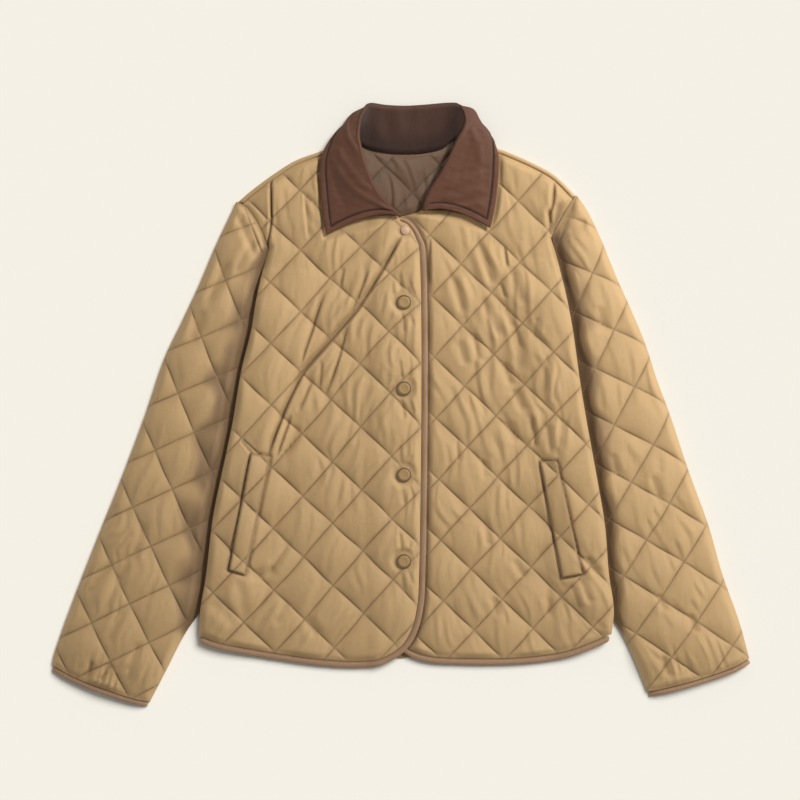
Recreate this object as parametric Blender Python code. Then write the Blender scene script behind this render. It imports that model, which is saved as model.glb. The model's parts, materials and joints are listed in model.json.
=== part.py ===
"""Quilted jacket, laid flat on its back.

A diamond-quilted jacket with a plain turn-down collar, bound edges, two
slanted pocket welts and a row of covered snaps.  It lies on z = 0 with the
neck towards +Y.  Right and left are the wearer's, so the right front and
sleeve are on the -X side.  Tables are in millimetres.
"""
import math

import bmesh
import bpy
import numpy as np
from mathutils import Vector
from mathutils.geometry import delaunay_2d_cdt

MM = 0.001

# ---------------------------------------------------------------- cloth sizes
SEAM_GAP = 0.3            # between pieces that meet at a seam
BACK_WALL = 4.0           # quilted back, pressed flat by what lies on it
FRONT_WALL = 2.6          # front at a stitch line
PUFF = 5.6                # how far the wadding stands above the stitch lines
SLEEVE_PUFF = 5.4
LAP_RISE = FRONT_WALL + SEAM_GAP     # the right front lies over the left one
LAP_EDGE_X = -20.4        # hidden edge of the left front
LAP_RAMP = 24.0           # how far before that edge the right front starts to rise
LAP_REACH = 20.0          # and it is up after this run
BINDING_WIDTH = 7.2
COLLAR_WALL = 2.4
COLLAR_FOLD_RADIUS = 1.5
LIP = 6.0                 # the back wraps this far over the shoulder seam
LIP_RISE = 3.2
LIP_STEP = (1.6, 0.8)     # the lip's inner side climbs between these, from its end
THINNEST = 1.2            # cloth where a crease or an edge pinches it
EDGE_EASE = 12.0          # the wadding thins out this near a seam
EDGE_HEIGHT = 2.4         # where a sleeve's rolled edge stands out most
LINING_WALL = 1.4
LINING_PUFF = 1.6
LINING_EASE = 8.0
LINING_GAP = 1.6          # the lining stops short of the fronts' neck edges
BINDING = BINDING_WIDTH + SEAM_GAP
CUFF_BINDING = 6.0
CUFF_WALL = 1.8
CUFF_SPACING = 9.0        # points along the cuff's ring
TAPE_CREST = 0.22         # a binding is highest this share of its width in
TAPE_SIDE = (0.34, 0.66)  # its outer side, as shares of its height
BACK_TAPE_HEIGHT = 3.2
BACK_HEM = 17.4           # the back's hem lies this far inside the fronts'

# --------------------------------------------- where the sleeves tuck under
TUCK = 24.0               # how far the body lies over the sleeve
LIFT = 8.0                # how far the sleeve lifts the body there
LIFT_LEVEL = 3.0          # the lift stays level this far past the sleeve's edge
LIFT_FADE = 50.0          # and how far in the body comes down again
LIFT_SLACK = 0.6          # more room between the layers where they bend
LIFT_START = 20.0         # the lift starts this far below the armhole
LIFT_RUN = 56.0           # and is full after this run
TUCK_START = 32.0         # the sleeve's edge goes under this far below that start
TUCK_RUN = 50.0           # and is fully under after this run
TUCK_END = 36.0           # it ends this far above where the sleeve leaves the body
HEM_FADE = (-283.0, -223.0)   # towards the hem the sleeve has left the body
HEM_LIFT = 0.35
CROWN_RUN = 70.0
GROOVE = 26.0             # the sleeve rises this far out from the body's side
SEAM_RISE = (2.6, 30.0)   # it starts higher at the armhole, fading over this run below
SLOT_OUTER = 0.09         # the slot's edges, as shares of the sleeve's width
SLOT_INNER = (0.62, 0.9)
SLOT_ROWS = 24            # rows of the slot's cutter
SLOT_PAST = (30.0, 20.0)  # how far the cutter runs out of armhole and cuff
SLOT_UNDER = 0.6          # cloth over the slot under the body
UNDER_BODY = 1.0          # the sleeve stays this far below the body
SLEEVE_CROWN = 5.5        # the flattened tube is fuller along its middle
CROWN_ENDS = (0.35, 60.0) # the share that is left at its ends, over this run
CROWN_TOP = 12.0          # the armhole end counts as this much further in
SLEEVE_SEAM = 6.0         # height of the sleeve's stitch lines at its edges
SLEEVE_WALL = 2.0         # least height of the sleeve over its underside
SLOT = (2.0, 3.2)         # the empty inside of a sleeve, bottom and top
ROLL = 9.0                # radius of the rolled side edges
SLEEVE_ROLL = 11.7        # and of the sleeves' upper edges

# ------------------------------------------------------------------ meshing
STEP = 14.0               # along outlines
JOIN = 4.0                # points of an outline nearer than this are one
COARSE = 34.0             # plain undersides
CELLS = 4                 # quilt cells along one side of a diamond
FULLNESS = 0.6            # below 1 the diamonds have flatter tops
SEED_STEP = 6.0           # first guesses for points of the lattice
NEWTON_STEPS = 6
NEAR_EDGE = (5.5, 6.0, 4.0)   # free border of fronts, sleeves and lining
SIDE_LINE = 2.6           # a line of points this far in keeps the rolled side round
SLEEVE_LINE = 3.0
CLEAR = (5.0, 3.5, 2.0)   # free of other points round lines, inserts and outlines

# ------------------------------------------------ outlines, x and y in mm
SHOULDER_RIGHT = [(-63.6, 321.6), (-92.4, 306.0), (-127.2, 292.8),
                  (-157.2, 273.6), (-181.2, 255.6), (-195.6, 243.0)]
ARMHOLE_RIGHT = [(-195.6, 243.0), (-186.0, 238.0), (-175.2, 224.4),
                 (-164.4, 204.0), (-158.4, 188.4)]
SIDE_RIGHT = [(-158.4, 188.4), (-166.8, 157.2), (-172.8, 127.2),
              (-178.8, 90.0), (-190.8, 40.8), (-200.4, -16.8),
              (-208.8, -57.6), (-224.4, -133.2), (-232.8, -202.8),
              (-240.0, -246.0), (-242.4, -283.2)]
HEM_RIGHT = [(-242.4, -283.2), (-224.4, -290.4), (-186.0, -298.8),
             (-142.8, -306.0), (-98.4, -312.0), (-55.2, -314.4),
             (-26.4, -312.0), (-8.0, -304.0), (8.0, -291.0),
             (20.0, -270.0), (26.5, -243.0), (28.8, -214.8)]
FRONT_EDGE_RIGHT = [(28.8, -214.8), (28.8, 190.8), (25.5, 200.4),
                    (20.4, 211.2), (12.0, 222.0), (2.4, 226.8)]
NECK_RIGHT = [(2.4, 226.8), (-6.0, 228.0), (-25.2, 237.6), (-42.0, 254.4),
              (-55.2, 278.4), (-61.2, 303.6), (-63.6, 321.6)]

SHOULDER_LEFT = [(70.8, 321.6), (93.6, 313.5), (116.4, 307.2),
                 (135.6, 300.0), (162.0, 288.0), (184.8, 274.8),
                 (209.0, 251.0)]
ARMHOLE_LEFT = [(209.0, 251.0), (202.8, 242.4), (193.2, 225.6),
                (186.0, 212.4), (180.0, 200.0)]
SIDE_LEFT = [(180.0, 200.0), (186.0, 180.0), (193.2, 150.0),
             (200.4, 116.4), (206.4, 82.8), (213.6, 30.0),
             (223.2, -27.6), (234.0, -86.4), (243.6, -144.0),
             (248.4, -202.8), (254.4, -246.0), (250.8, -282.0)]
HEM_LEFT = [(250.8, -282.0), (231.6, -290.4), (202.8, -301.2),
            (172.8, -307.2), (129.6, -310.8), (72.0, -310.8),
            (33.6, -308.4), (13.2, -302.4), (-4.0, -291.0),
            (-16.0, -270.0), (-20.4, -240.0)]
FRONT_EDGE_LEFT = [(-20.4, -240.0), (-20.4, 198.0), (-15.6, 219.6)]
NECK_LEFT = [(-15.6, 219.6), (-1.2, 224.4), (16.8, 229.2), (32.4, 238.8),
             (48.0, 254.4), (61.2, 278.4), (68.4, 303.6), (70.8, 321.6)]
HEM_BACK = HEM_RIGHT[:6] + HEM_LEFT[5::-1]
NECK_BACK = [(70.8, 321.6), (60.0, 309.0), (40.0, 302.0), (3.6, 298.8),
             (-33.0, 302.0), (-53.0, 309.0), (-63.6, 321.6)]

SLEEVE_OUTER_RIGHT = [(-197.2, 243.4), (-222.0, 190.8), (-242.4, 142.8),
                      (-261.6, 102.0), (-283.2, 56.4), (-304.8, -7.2),
                      (-331.2, -78.0), (-360.0, -150.0), (-386.4, -217.2),
                      (-406.8, -272.4), (-416.4, -302.0), (-419.0, -317.6)]
SLEEVE_SHOWN_RIGHT = [(-241.2, -248.4), (-259.2, -274.8), (-282.0, -319.2),
                      (-304.0, -361.6)]
CUFF_RIGHT = [(-304.0, -361.6), (-323.0, -357.4), (-347.0, -349.6),
              (-378.0, -338.4), (-404.0, -326.4), (-419.0, -317.6)]
SLEEVE_OUTER_LEFT = [(210.6, 251.2), (223.2, 232.8), (240.0, 198.0),
                     (258.0, 153.6), (274.8, 116.4), (292.8, 73.2),
                     (307.2, 28.8), (321.6, -9.6), (344.4, -78.0),
                     (368.4, -144.0), (385.2, -202.8), (405.6, -260.4),
                     (419.0, -309.6)]
SLEEVE_SHOWN_LEFT = [(255.6, -258.0), (268.8, -280.8), (283.2, -313.2),
                     (298.0, -349.6)]
CUFF_LEFT = [(298.0, -349.6), (333.6, -341.4), (376.8, -328.4),
             (402.0, -319.0), (419.0, -309.6)]

# ------------------------------------------------------------------- quilt
# A stitch crossing, half a diamond across and along, and how the lattice
# leans: x moves by lean (and bend, per mm) for each mm down the piece.
LATTICE = {
    "front_right": dict(x=-118.8, y=183.6, across=35.6, along=36.7,
                        lean=0.012, bend=0.0),
    "front_left": dict(x=108.0, y=133.2, across=35.6, along=36.6,
                       lean=0.036, bend=0.0),
    "sleeve_right": dict(x=-294.0, y=-54.0, across=36.4, along=36.6,
                         lean=-0.394, bend=0.00024),
    "sleeve_left": dict(x=300.5, y=-48.0, across=37.0, along=36.3,
                        lean=0.300, bend=-0.00048),
    "lining": dict(x=13.2, y=253.2, across=33.0, along=33.6,
                   lean=0.0, bend=0.0),
}

# ------------------------------------------------------------ large creases
# from (x1, y1) to (x2, y2), half width and depth, a trough where depth > 0
CREASE_COLUMNS = ("x1", "y1", "x2", "y2", "width", "depth")
CREASES = {
    "front_right": [
        (-154.8, 268.8, -157.0, 196.0, 9.0, 4.0),
        (-6.0, 196.0, -82.0, 72.0, 9.0, 3.0),
        (-82.0, 72.0, -140.0, -8.0, 10.0, 2.6),
        (-30.0, 206.0, -112.0, 98.0, 12.0, -2.0),
        (-140.0, -8.0, -157.0, -56.0, 8.0, 2.2),
    ],
    "front_left": [
        (182.4, 264.0, 178.0, 206.0, 9.0, 4.0),
        (34.0, 190.0, 66.0, 128.0, 9.0, 1.8),
        (166.0, -30.0, 176.0, 40.0, 9.0, 1.8),
    ],
    "sleeve_right": [
        (-206.0, 176.0, -186.0, 150.0, 10.0, 2.0),
        (-350.0, -258.0, -318.0, -330.0, 9.0, 2.0),
    ],
    "sleeve_left": [
        (224.0, 186.0, 210.0, 158.0, 10.0, 2.0),
        (352.0, -250.0, 330.0, -318.0, 9.0, 2.0),
    ],
}

# --------------------------------------------------------- pockets and snaps
WELT_RIGHT = [(-178.8, -57.6), (-156.0, -61.2), (-186.0, -202.8),
              (-205.2, -196.8)]
WELT_LEFT = [(165.6, -67.2), (186.0, -67.2), (216.0, -201.6),
             (192.0, -206.4)]
WELT_WALL = 2.2
SNAP_X = 3.6
SNAP_TOP_Y = 122.9
SNAP_PITCH = 103.2
SNAP_COUNT = 4
SNAP_DIAMETER = 17.6
SNAP_HEIGHT = 2.4
STUD_AT = (5.0, 208.6)
STUD_DIAMETER = 10.4
STUD_HEIGHT = 2.2
CAP_SIDES = 14
# shares of the radius and of the height, from the seat up and over
CAP_PROFILE = [(0.86, 0.0), (1.0, 0.3), (1.0, 0.62), (0.9, 0.95), (0.76, 1.0), (0.66, 0.86)]
SEAT_MARGIN = 2.0         # flat cloth round a snap
STUD_MARGIN = 0.5
SEAT_EASE = 9.0
SEAT_RISE = 1.4

# -------------------------------------------------------------------- collar
# One row for each station from the right front end, round the back of the
# neck, to the left front end.  n is the neck seam, f the fold, t a point in
# the middle of the fall and e its outer edge; turn is where the fall lies
# from the stand: 90 above, 0 beside, -90 below.
COLLAR_COLUMNS = ("nx", "ny", "nz", "fx", "fy", "fz",
                  "tx", "ty", "tz", "ex", "ey", "ez", "turn")
COLLAR_STATIONS = [
    (-14.4, 229.2, 11.8, -0.6, 225.6, 14.6, -39.6, 224.4, 14.0, -88.8, 202.8, 12.6, 90),
    (-27.0, 240.0, 11.8, -12.6, 237.0, 15.0, -48.0, 236.4, 14.2, -91.8, 218.4, 11.4, 90),
    (-40.8, 254.4, 10.4, -27.0, 253.8, 15.4, -58.8, 249.6, 14.2, -94.2, 238.8, 10.8, 90),
    (-48.6, 270.0, 10.2, -35.4, 269.4, 15.8, -64.8, 265.2, 14.4, -96.0, 258.0, 10.6, 90),
    (-54.0, 286.8, 10.2, -42.6, 288.0, 16.2, -69.6, 285.6, 14.8, -97.2, 279.6, 10.6, 80),
    (-57.6, 298.8, 10.2, -48.0, 307.2, 16.8, -70.8, 304.8, 14.8, -94.8, 297.6, 10.4, 60),
    (-58.8, 308.4, 9.6, -51.0, 321.6, 16.8, -75.0, 321.6, 12.6, -84.0, 316.0, 6.0, 30),
    (-58.8, 318.0, 7.6, -49.8, 339.6, 14.8, -68.4, 335.4, 8.2, -66.6, 330.0, 3.4, 0),
    (-53.4, 314.4, 5.2, -44.4, 353.4, 9.4, -57.6, 346.8, 5.2, -54.6, 329.4, 1.9, -40),
    (-40.2, 306.6, 3.8, -37.2, 360.0, 4.6, -39.6, 342.0, 1.8, -39.6, 315.0, 1.5, -80),
    (-18.0, 301.8, 3.3, -18.0, 358.0, 3.0, -18.0, 336.0, 1.5, -18.0, 309.0, 1.4, -90),
    (3.6, 300.6, 3.3, 3.6, 357.0, 2.9, 3.6, 336.0, 1.5, 3.6, 307.2, 1.4, -90),
    (25.2, 301.8, 3.3, 25.2, 358.0, 3.0, 25.2, 336.0, 1.5, 25.2, 309.0, 1.4, -90),
    (48.0, 306.6, 3.8, 59.4, 360.4, 4.2, 54.0, 342.0, 1.8, 53.4, 315.0, 1.5, -80),
    (60.6, 315.4, 5.4, 72.6, 355.2, 8.8, 81.0, 349.8, 5.2, 70.2, 332.4, 1.9, -40),
    (66.4, 320.6, 9.4, 78.0, 342.0, 14.0, 91.2, 337.2, 8.2, 81.0, 330.0, 3.4, 0),
    (68.4, 309.6, 9.6, 75.6, 330.0, 16.8, 103.2, 325.2, 12.6, 97.8, 318.0, 6.0, 30),
    (66.0, 298.8, 10.2, 67.2, 315.6, 16.8, 92.4, 309.6, 14.8, 115.2, 303.6, 10.4, 60),
    (60.6, 284.4, 10.2, 56.4, 292.8, 16.2, 85.2, 285.6, 14.8, 117.0, 280.8, 10.6, 80),
    (52.8, 268.8, 10.2, 46.8, 274.8, 15.8, 79.2, 266.4, 14.4, 115.2, 258.0, 10.6, 90),
    (43.8, 253.8, 9.8, 36.0, 258.0, 15.0, 73.2, 247.2, 13.4, 112.8, 238.8, 10.8, 90),
    (35.4, 243.0, 9.6, 28.8, 242.4, 14.2, 66.0, 235.2, 13.0, 109.8, 223.2, 11.4, 90),
    (32.4, 236.4, 9.6, 26.4, 231.6, 13.4, 62.4, 231.6, 13.0, 106.8, 211.2, 12.4, 90),
]
COLLAR_ROWS = 32          # stations of the finished band
BEND_ANGLES = (-90, -45, 0, 45, 90)   # points round the fold
STAND_POINTS = 3
FALL_POINTS = 6
PRESS_HOLD = 2.4          # cloth is flat this far round what lies on it
PRESS_MARGIN = 12.0       # and full again this much further out

COLOURS = {
    "shell": ((0.48, 0.32, 0.15), 0.62, 0.0),
    "collar": ((0.11, 0.050, 0.028), 0.6, 0.0),
    "lining": ((0.20, 0.14, 0.085), 0.7, 0.0),
    "binding": ((0.38, 0.22, 0.13), 0.65, 0.0),
    "snap": ((0.36, 0.23, 0.09), 0.45, 0.0),
    "stud": ((0.55, 0.37, 0.24), 0.4, 0.0),
}


# ------------------------------------------------------------------ curves
def spline(points, step):
    """Points about step apart on a smooth curve through the table's points."""
    table = np.array(points, float)
    ends = np.vstack([2 * table[0] - table[1], table, 2 * table[-1] - table[-2]])
    dense = []
    for i in range(1, len(ends) - 2):
        p0, p1, p2, p3 = ends[i - 1:i + 3]
        t1 = math.sqrt(np.linalg.norm(p1 - p0))
        t2 = t1 + math.sqrt(np.linalg.norm(p2 - p1))
        t3 = t2 + math.sqrt(np.linalg.norm(p3 - p2))
        for t in np.linspace(t1, t2, 16, endpoint=False):
            a1 = p0 + (p1 - p0) * t / t1
            a2 = p1 + (p2 - p1) * (t - t1) / (t2 - t1)
            a3 = p2 + (p3 - p2) * (t - t2) / (t3 - t2)
            b1 = a1 + (a2 - a1) * t / t2
            b2 = a2 + (a3 - a2) * (t - t1) / (t3 - t1)
            dense.append(b1 + (b2 - b1) * (t - t1) / (t2 - t1))
    dense.append(table[-1])
    return resample(np.array(dense), step)


def resample(line, step):
    """The same line with points about step apart."""
    along = np.concatenate([[0], np.cumsum(np.linalg.norm(np.diff(line, axis=0), axis=1))])
    count = max(2, round(along[-1] / step) + 1)
    at = np.linspace(0, along[-1], count)
    return np.stack([np.interp(at, along, line[:, k]) for k in range(line.shape[1])], axis=1)


def left_normal(line):
    """Unit normals to the left of a line."""
    tangent = np.gradient(line, axis=0)
    tangent /= np.linalg.norm(tangent, axis=1)[:, None]
    return np.stack([-tangent[:, 1], tangent[:, 0]], axis=1)


def offset(line, distance):
    """The line moved to its left by distance."""
    return line + distance * left_normal(line)


def inset_loop(loop, distance):
    """An outline's points moved inward, without those that end up too near it."""
    tangent = np.roll(loop, -1, axis=0) - np.roll(loop, 1, axis=0)
    tangent /= np.linalg.norm(tangent, axis=1)[:, None]
    normal = np.stack([-tangent[:, 1], tangent[:, 0]], axis=1)
    moved = loop + normal * (distance if turns_left(loop) else -distance)
    moved = moved[inside(moved, loop)]
    return moved[distance_to(moved, loop, closed=True) > distance * 0.8]


def distance_to(points, line, closed=False):
    """How far each point is from a line of straight pieces."""
    ends = np.vstack([line[1:], line[:1]]) if closed else line[1:]
    starts = line if closed else line[:-1]
    best = np.full(len(points), np.inf)
    for a, b in zip(starts, ends):
        d = b - a
        t = np.clip(((points - a) @ d) / max(d @ d, 1e-9), 0, 1)
        best = np.minimum(best, np.linalg.norm(points - a - t[:, None] * d, axis=1))
    return best


def inside(points, loop):
    """Which points lie inside a closed outline."""
    x, y = points[:, 0], points[:, 1]
    odd = np.zeros(len(points), bool)
    for (x1, y1), (x2, y2) in zip(loop, np.roll(loop, -1, axis=0)):
        crosses = (y1 > y) != (y2 > y)
        rise = y2 - y1 if y2 != y1 else 1e-12
        odd ^= crosses & (x < (x2 - x1) * (y - y1) / rise + x1)
    return odd


def smooth(value):
    """0 below 0, 1 above 1 and an even ease between."""
    t = np.clip(value, 0, 1)
    return t * t * (3 - 2 * t)


# ------------------------------------------------------------------- quilt
def lattice_uv(points, grid):
    """Quilt coordinates: a stitch line wherever u or v is whole."""
    down = grid["y"] - points[:, 1]
    axis = grid["x"] + grid["lean"] * down + grid["bend"] * down ** 2 / 2
    slope = grid["lean"] + grid["bend"] * down
    cosine = 1 / np.sqrt(1 + slope ** 2)
    off_axis = points[:, 0] - axis
    along = down / np.cos(np.arctan(grid["lean"] + grid["bend"] * down / 2))
    along = along + off_axis * slope * cosine
    across = off_axis * cosine / grid["across"]
    along = along / grid["along"]
    return (across + along) / 2, (across - along) / 2


def lattice_points(loop, grid, margin):
    """Points on the stitch lines and between them, inside an outline."""
    past = 2 * grid["along"]
    low, high = loop.min(axis=0) - past, loop.max(axis=0) + past
    xs, ys = np.meshgrid(np.arange(low[0], high[0], SEED_STEP), np.arange(low[1], high[1], SEED_STEP))
    seeds = np.stack([xs.ravel(), ys.ravel()], axis=1)
    u, v = lattice_uv(seeds, grid)
    whole = np.unique(np.round(np.stack([u, v], axis=1) * CELLS).astype(int), axis=0)
    # walk each rounded (u, v) back to a place by a few Newton steps
    target = whole / CELLS
    nearest = {}
    for k, key in enumerate(map(tuple, np.round(np.stack([u, v], axis=1) * CELLS).astype(int))):
        nearest.setdefault(key, k)
    at = np.array([seeds[nearest[tuple(key)]] for key in whole])
    for _ in range(NEWTON_STEPS):
        u0, v0 = lattice_uv(at, grid)
        ux, vx = lattice_uv(at + (0.5, 0), grid)
        uy, vy = lattice_uv(at + (0, 0.5), grid)
        jac = np.stack([np.stack([ux - u0, uy - u0], 1), np.stack([vx - v0, vy - v0], 1)], 1) / 0.5
        err = target - np.stack([u0, v0], axis=1)
        at = at + np.linalg.solve(jac, err[:, :, None])[:, :, 0]
    keep = inside(at, loop)
    at = at[keep]
    return at[distance_to(at, loop, closed=True) > margin]


def quilt(points, grid):
    """0 on the stitch lines to 1 in the middle of a diamond."""
    u, v = lattice_uv(points, grid)
    return (np.abs(np.sin(math.pi * u)) * np.abs(np.sin(math.pi * v))) ** FULLNESS


def creases(points, name):
    """How far the large creases of a piece move its surface up."""
    total = np.zeros(len(points))
    for row in CREASES.get(name, ()):
        crease = dict(zip(CREASE_COLUMNS, row))
        a = np.array([crease["x1"], crease["y1"]])
        d = np.array([crease["x2"], crease["y2"]]) - a
        t = ((points - a) @ d) / (d @ d)
        off = np.linalg.norm(points - a - np.clip(t, 0, 1)[:, None] * d, axis=1)
        ends = np.clip(np.minimum(t, 1 - t) * 5 + 1, 0, 1)
        total -= crease["depth"] * ends * np.exp(-(off / crease["width"]) ** 2)
    return total


def coarse_points(loop, spacing, margin):
    """An even net of points inside an outline."""
    low, high = loop.min(axis=0), loop.max(axis=0)
    rows = []
    for j, y in enumerate(np.arange(low[1], high[1], spacing * 0.87)):
        shift = spacing / 2 if j % 2 else 0.0
        rows += [(x + shift, y) for x in np.arange(low[0], high[0], spacing)]
    points = np.array(rows)
    points = points[inside(points, loop)]
    return points[distance_to(points, loop, closed=True) > margin]


# ------------------------------------------------------------------ solids
def triangulate(loop, extra, inserts=()):
    """Triangles of an outline through extra points, with inserts as edges."""
    points = [Vector(p) for p in loop]
    edges = [(i, (i + 1) % len(loop)) for i in range(len(loop))]
    for insert in inserts:
        first = len(points)
        points += [Vector(p) for p in insert]
        edges += [(first + i, first + (i + 1) % len(insert)) for i in range(len(insert))]
    points += [Vector(p) for p in extra]
    verts, _, faces, _, _, _ = delaunay_2d_cdt(points, edges, [], 0, 1e-5)
    verts = np.array([tuple(v) for v in verts])
    faces = np.array([tuple(f) for f in faces if len(f) == 3])
    centres = verts[faces].mean(axis=1)
    faces = faces[inside(centres, loop)]
    a, b, c = (verts[faces[:, k]] for k in range(3))
    area = (b[:, 0] - a[:, 0]) * (c[:, 1] - a[:, 1]) - (b[:, 1] - a[:, 1]) * (c[:, 0] - a[:, 0])
    faces[area < 0] = faces[area < 0][:, ::-1]
    return verts, faces


def add_object(name, verts, faces, colour):
    """A named object from points in mm."""
    mesh = bpy.data.meshes.new(name)
    mesh.from_pydata([tuple(p * MM) for p in np.asarray(verts, float)], [],
                     [tuple(int(i) for i in f) for f in faces])
    mesh.validate()
    mesh.shade_smooth()
    mesh.materials.append(material(colour))
    obj = bpy.data.objects.new(name, mesh)
    bpy.context.scene.collection.objects.link(obj)
    return obj


def material(colour):
    """The Principled material of one kind of cloth or metal."""
    found = bpy.data.materials.get(colour)
    if found:
        return found
    base, roughness, metallic = COLOURS[colour]
    made = bpy.data.materials.new(colour)
    made.use_nodes = True
    shader = made.node_tree.nodes["Principled BSDF"]
    shader.inputs["Base Color"].default_value = (*base, 1)
    shader.inputs["Roughness"].default_value = roughness
    shader.inputs["Metallic"].default_value = metallic
    return made


def panel(name, loop, top, bottom, fine, coarse, colour, inserts=()):
    """A closed wall between two height functions over one outline."""
    upper, up_faces = triangulate(loop, fine, inserts)
    lower, low_faces = triangulate(loop, coarse)
    n, first = len(loop), len(upper)
    verts = np.vstack([np.column_stack([upper, top(upper)]),
                       np.column_stack([lower, bottom(lower)])])
    wall = [(i, i + first, (i + 1) % n + first, (i + 1) % n) for i in range(n)]
    faces = [tuple(f) for f in up_faces] + [tuple(f[::-1] + first) for f in low_faces] + wall
    return add_object(name, verts, faces, colour), upper, up_faces


def patch_on(name, outline, upper, up_faces, top, rise, wall, colour):
    """A piece laid on a panel, made from the panel's own points moved out."""
    centres = upper[up_faces].mean(axis=1)
    faces = up_faces[inside(centres, outline)]
    used = np.unique(faces)
    index = {int(k): i for i, k in enumerate(used)}
    faces = np.array([[index[int(k)] for k in f] for f in faces])
    points = upper[used]
    base = top(points) + rise
    n = len(points)
    verts = np.vstack([np.column_stack([points, base + wall(points)]),
                       np.column_stack([points, base])])
    sides = {}
    for f in faces:
        for a, b in zip(f, np.roll(f, -1)):
            sides[(int(a), int(b))] = sides.get((int(a), int(b)), 0) + 1
    border = [(a, b) for a, b in sides if (b, a) not in sides]
    all_faces = [tuple(f) for f in faces] + [tuple(f[::-1] + n) for f in faces]
    all_faces += [(b, a, a + n, b + n) for a, b in border]
    return add_object(name, verts, all_faces, colour)


def sweep(name, rings, colour, closed=False):
    """A tube through rings of points, capped at its ends unless closed."""
    rings = np.array(rings)
    count, size = rings.shape[:2]
    verts = rings.reshape(-1, 3)
    faces = []
    for i in range(count if closed else count - 1):
        j = (i + 1) % count
        for k in range(size):
            m = (k + 1) % size
            faces.append((i * size + k, i * size + m, j * size + m, j * size + k))
    if not closed:
        faces.append(tuple(range(size - 1, -1, -1)))
        faces.append(tuple((count - 1) * size + k for k in range(size)))
    obj = add_object(name, verts, faces, colour)
    tidy = bmesh.new()
    tidy.from_mesh(obj.data)
    bmesh.ops.triangulate(tidy, faces=[f for f in tidy.faces if len(f.verts) > 4])
    bmesh.ops.recalc_face_normals(tidy, faces=tidy.faces)
    tidy.to_mesh(obj.data)
    tidy.free()
    return obj


# ------------------------------------------------------- shape of the cloth
class Side:
    """The runs of one side of the jacket, and what the sleeve does there."""

    def __init__(self, side, armhole, outer, shown, cuff, inward):
        self.inward = inward      # +1 where left of the downward side edge is inside
        self.edge = spline(side, STEP)
        self.armhole = spline(armhole, STEP)
        self.outer = spline(outer, STEP)
        self.shown = spline(shown, STEP)
        self.cuff = spline(cuff, STEP)
        self.fade_top = side[0][1] - LIFT_START

    def lift(self, points):
        """How far the sleeve lifts the body at each point."""
        depth = distance_to(points, self.edge)
        near = 1 - smooth((depth - TUCK - LIFT_LEVEL) / LIFT_FADE)
        above = smooth((self.fade_top - points[:, 1]) / LIFT_RUN)
        below = HEM_LIFT + (1 - HEM_LIFT) * smooth((points[:, 1] - HEM_FADE[0])
                                                   / (HEM_FADE[1] - HEM_FADE[0]))
        return LIFT * near * above * below

    def tucked_edge(self):
        """The sleeve's hidden edge, under the side of the body."""
        line = self.edge[self.edge[:, 1] > self.shown[0][1] + TUCK_END]
        along = smooth((self.fade_top - TUCK_START - line[:, 1]) / TUCK_RUN)
        depth = -2 * SEAM_GAP + (TUCK + 2 * SEAM_GAP) * along
        return line + self.inward * depth[:, None] * left_normal(line)

    def rings(self):
        """Points in lines along the side, where the lift changes."""
        depths = [TUCK + LIFT_LEVEL + LIFT_FADE * k / 3 for k in range(4)]
        return np.vstack([offset(self.edge, self.inward * d) for d in depths])


def body_lift(points):
    """The height of the body's underside."""
    return np.where(points[:, 0] < 0, RIGHT.lift(points), LEFT.lift(points))


def lap(points):
    """How far the right front rises over the hidden edge of the left one."""
    return LAP_RISE * smooth((points[:, 0] - LAP_EDGE_X + LAP_RAMP) / LAP_REACH)


def rolled(depth, radius):
    """0 at an edge to 1 at radius from it, round like a quarter circle."""
    t = np.clip(1 - depth / radius, 0, 1)
    return np.sqrt(1 - t * t)


def collar_outline():
    """The outline of the collar's fall, under which the fronts are flat."""
    table = [dict(zip(COLLAR_COLUMNS, row)) for row in COLLAR_STATIONS]
    edge = [(r["ex"], r["ey"]) for r in table]
    fold = [(r["fx"], r["fy"]) for r in table]
    return np.array(edge + fold[::-1])


def pressed(points, outline, margin):
    """1 where something lies on the cloth, 0 at margin away from it."""
    away = distance_to(points, outline, closed=True)
    away[inside(points, outline)] = 0
    return 1 - smooth((away - PRESS_HOLD) / margin)


def snap_places():
    """The centres of the snap caps, top to bottom."""
    return [(SNAP_X, SNAP_TOP_Y - SNAP_PITCH * k) for k in range(SNAP_COUNT)]


def seats():
    """Each fastener's centre and the radius of its flat seat."""
    seats_at = [(place, SNAP_DIAMETER / 2 + SEAT_MARGIN) for place in snap_places()]
    return seats_at + [(STUD_AT, STUD_DIAMETER / 2 + STUD_MARGIN)]


def seated(points):
    """1 on the flat seat of a fastener, 0 away from it."""
    total = np.zeros(len(points))
    for centre, radius in seats():
        away = np.linalg.norm(points - np.array(centre), axis=1)
        total = np.maximum(total, 1 - smooth((away - radius - 0.1) / SEAT_EASE))
    return total


def circle(centre, radius, count):
    """Points round a circle."""
    angles = 2 * math.pi * np.arange(count) / count
    return np.array(centre) + radius * np.stack([np.cos(angles), np.sin(angles)], axis=1)


def chain(*runs):
    """One closed outline from runs that meet, or nearly meet, end to end."""
    loop = np.array(runs[0])
    for run in runs[1:]:
        meets = np.linalg.norm(run[0] - loop[-1]) < JOIN
        loop = np.vstack([loop, run[1:] if meets else run])
    if np.linalg.norm(loop[0] - loop[-1]) < JOIN:
        loop = loop[:-1]
    return loop if turns_left(loop) else loop[::-1]


def turns_left(loop):
    """Whether a closed outline runs anticlockwise."""
    after = np.roll(loop, -1, axis=0)
    return np.sum(loop[:, 0] * after[:, 1] - loop[:, 1] * after[:, 0]) > 0


def trimmed(run, line, distance):
    """The run without its stretch that is nearer than distance to a line."""
    dense = resample(run, 1.0)
    return resample(dense[distance_to(dense, line) >= distance], STEP)


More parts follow.
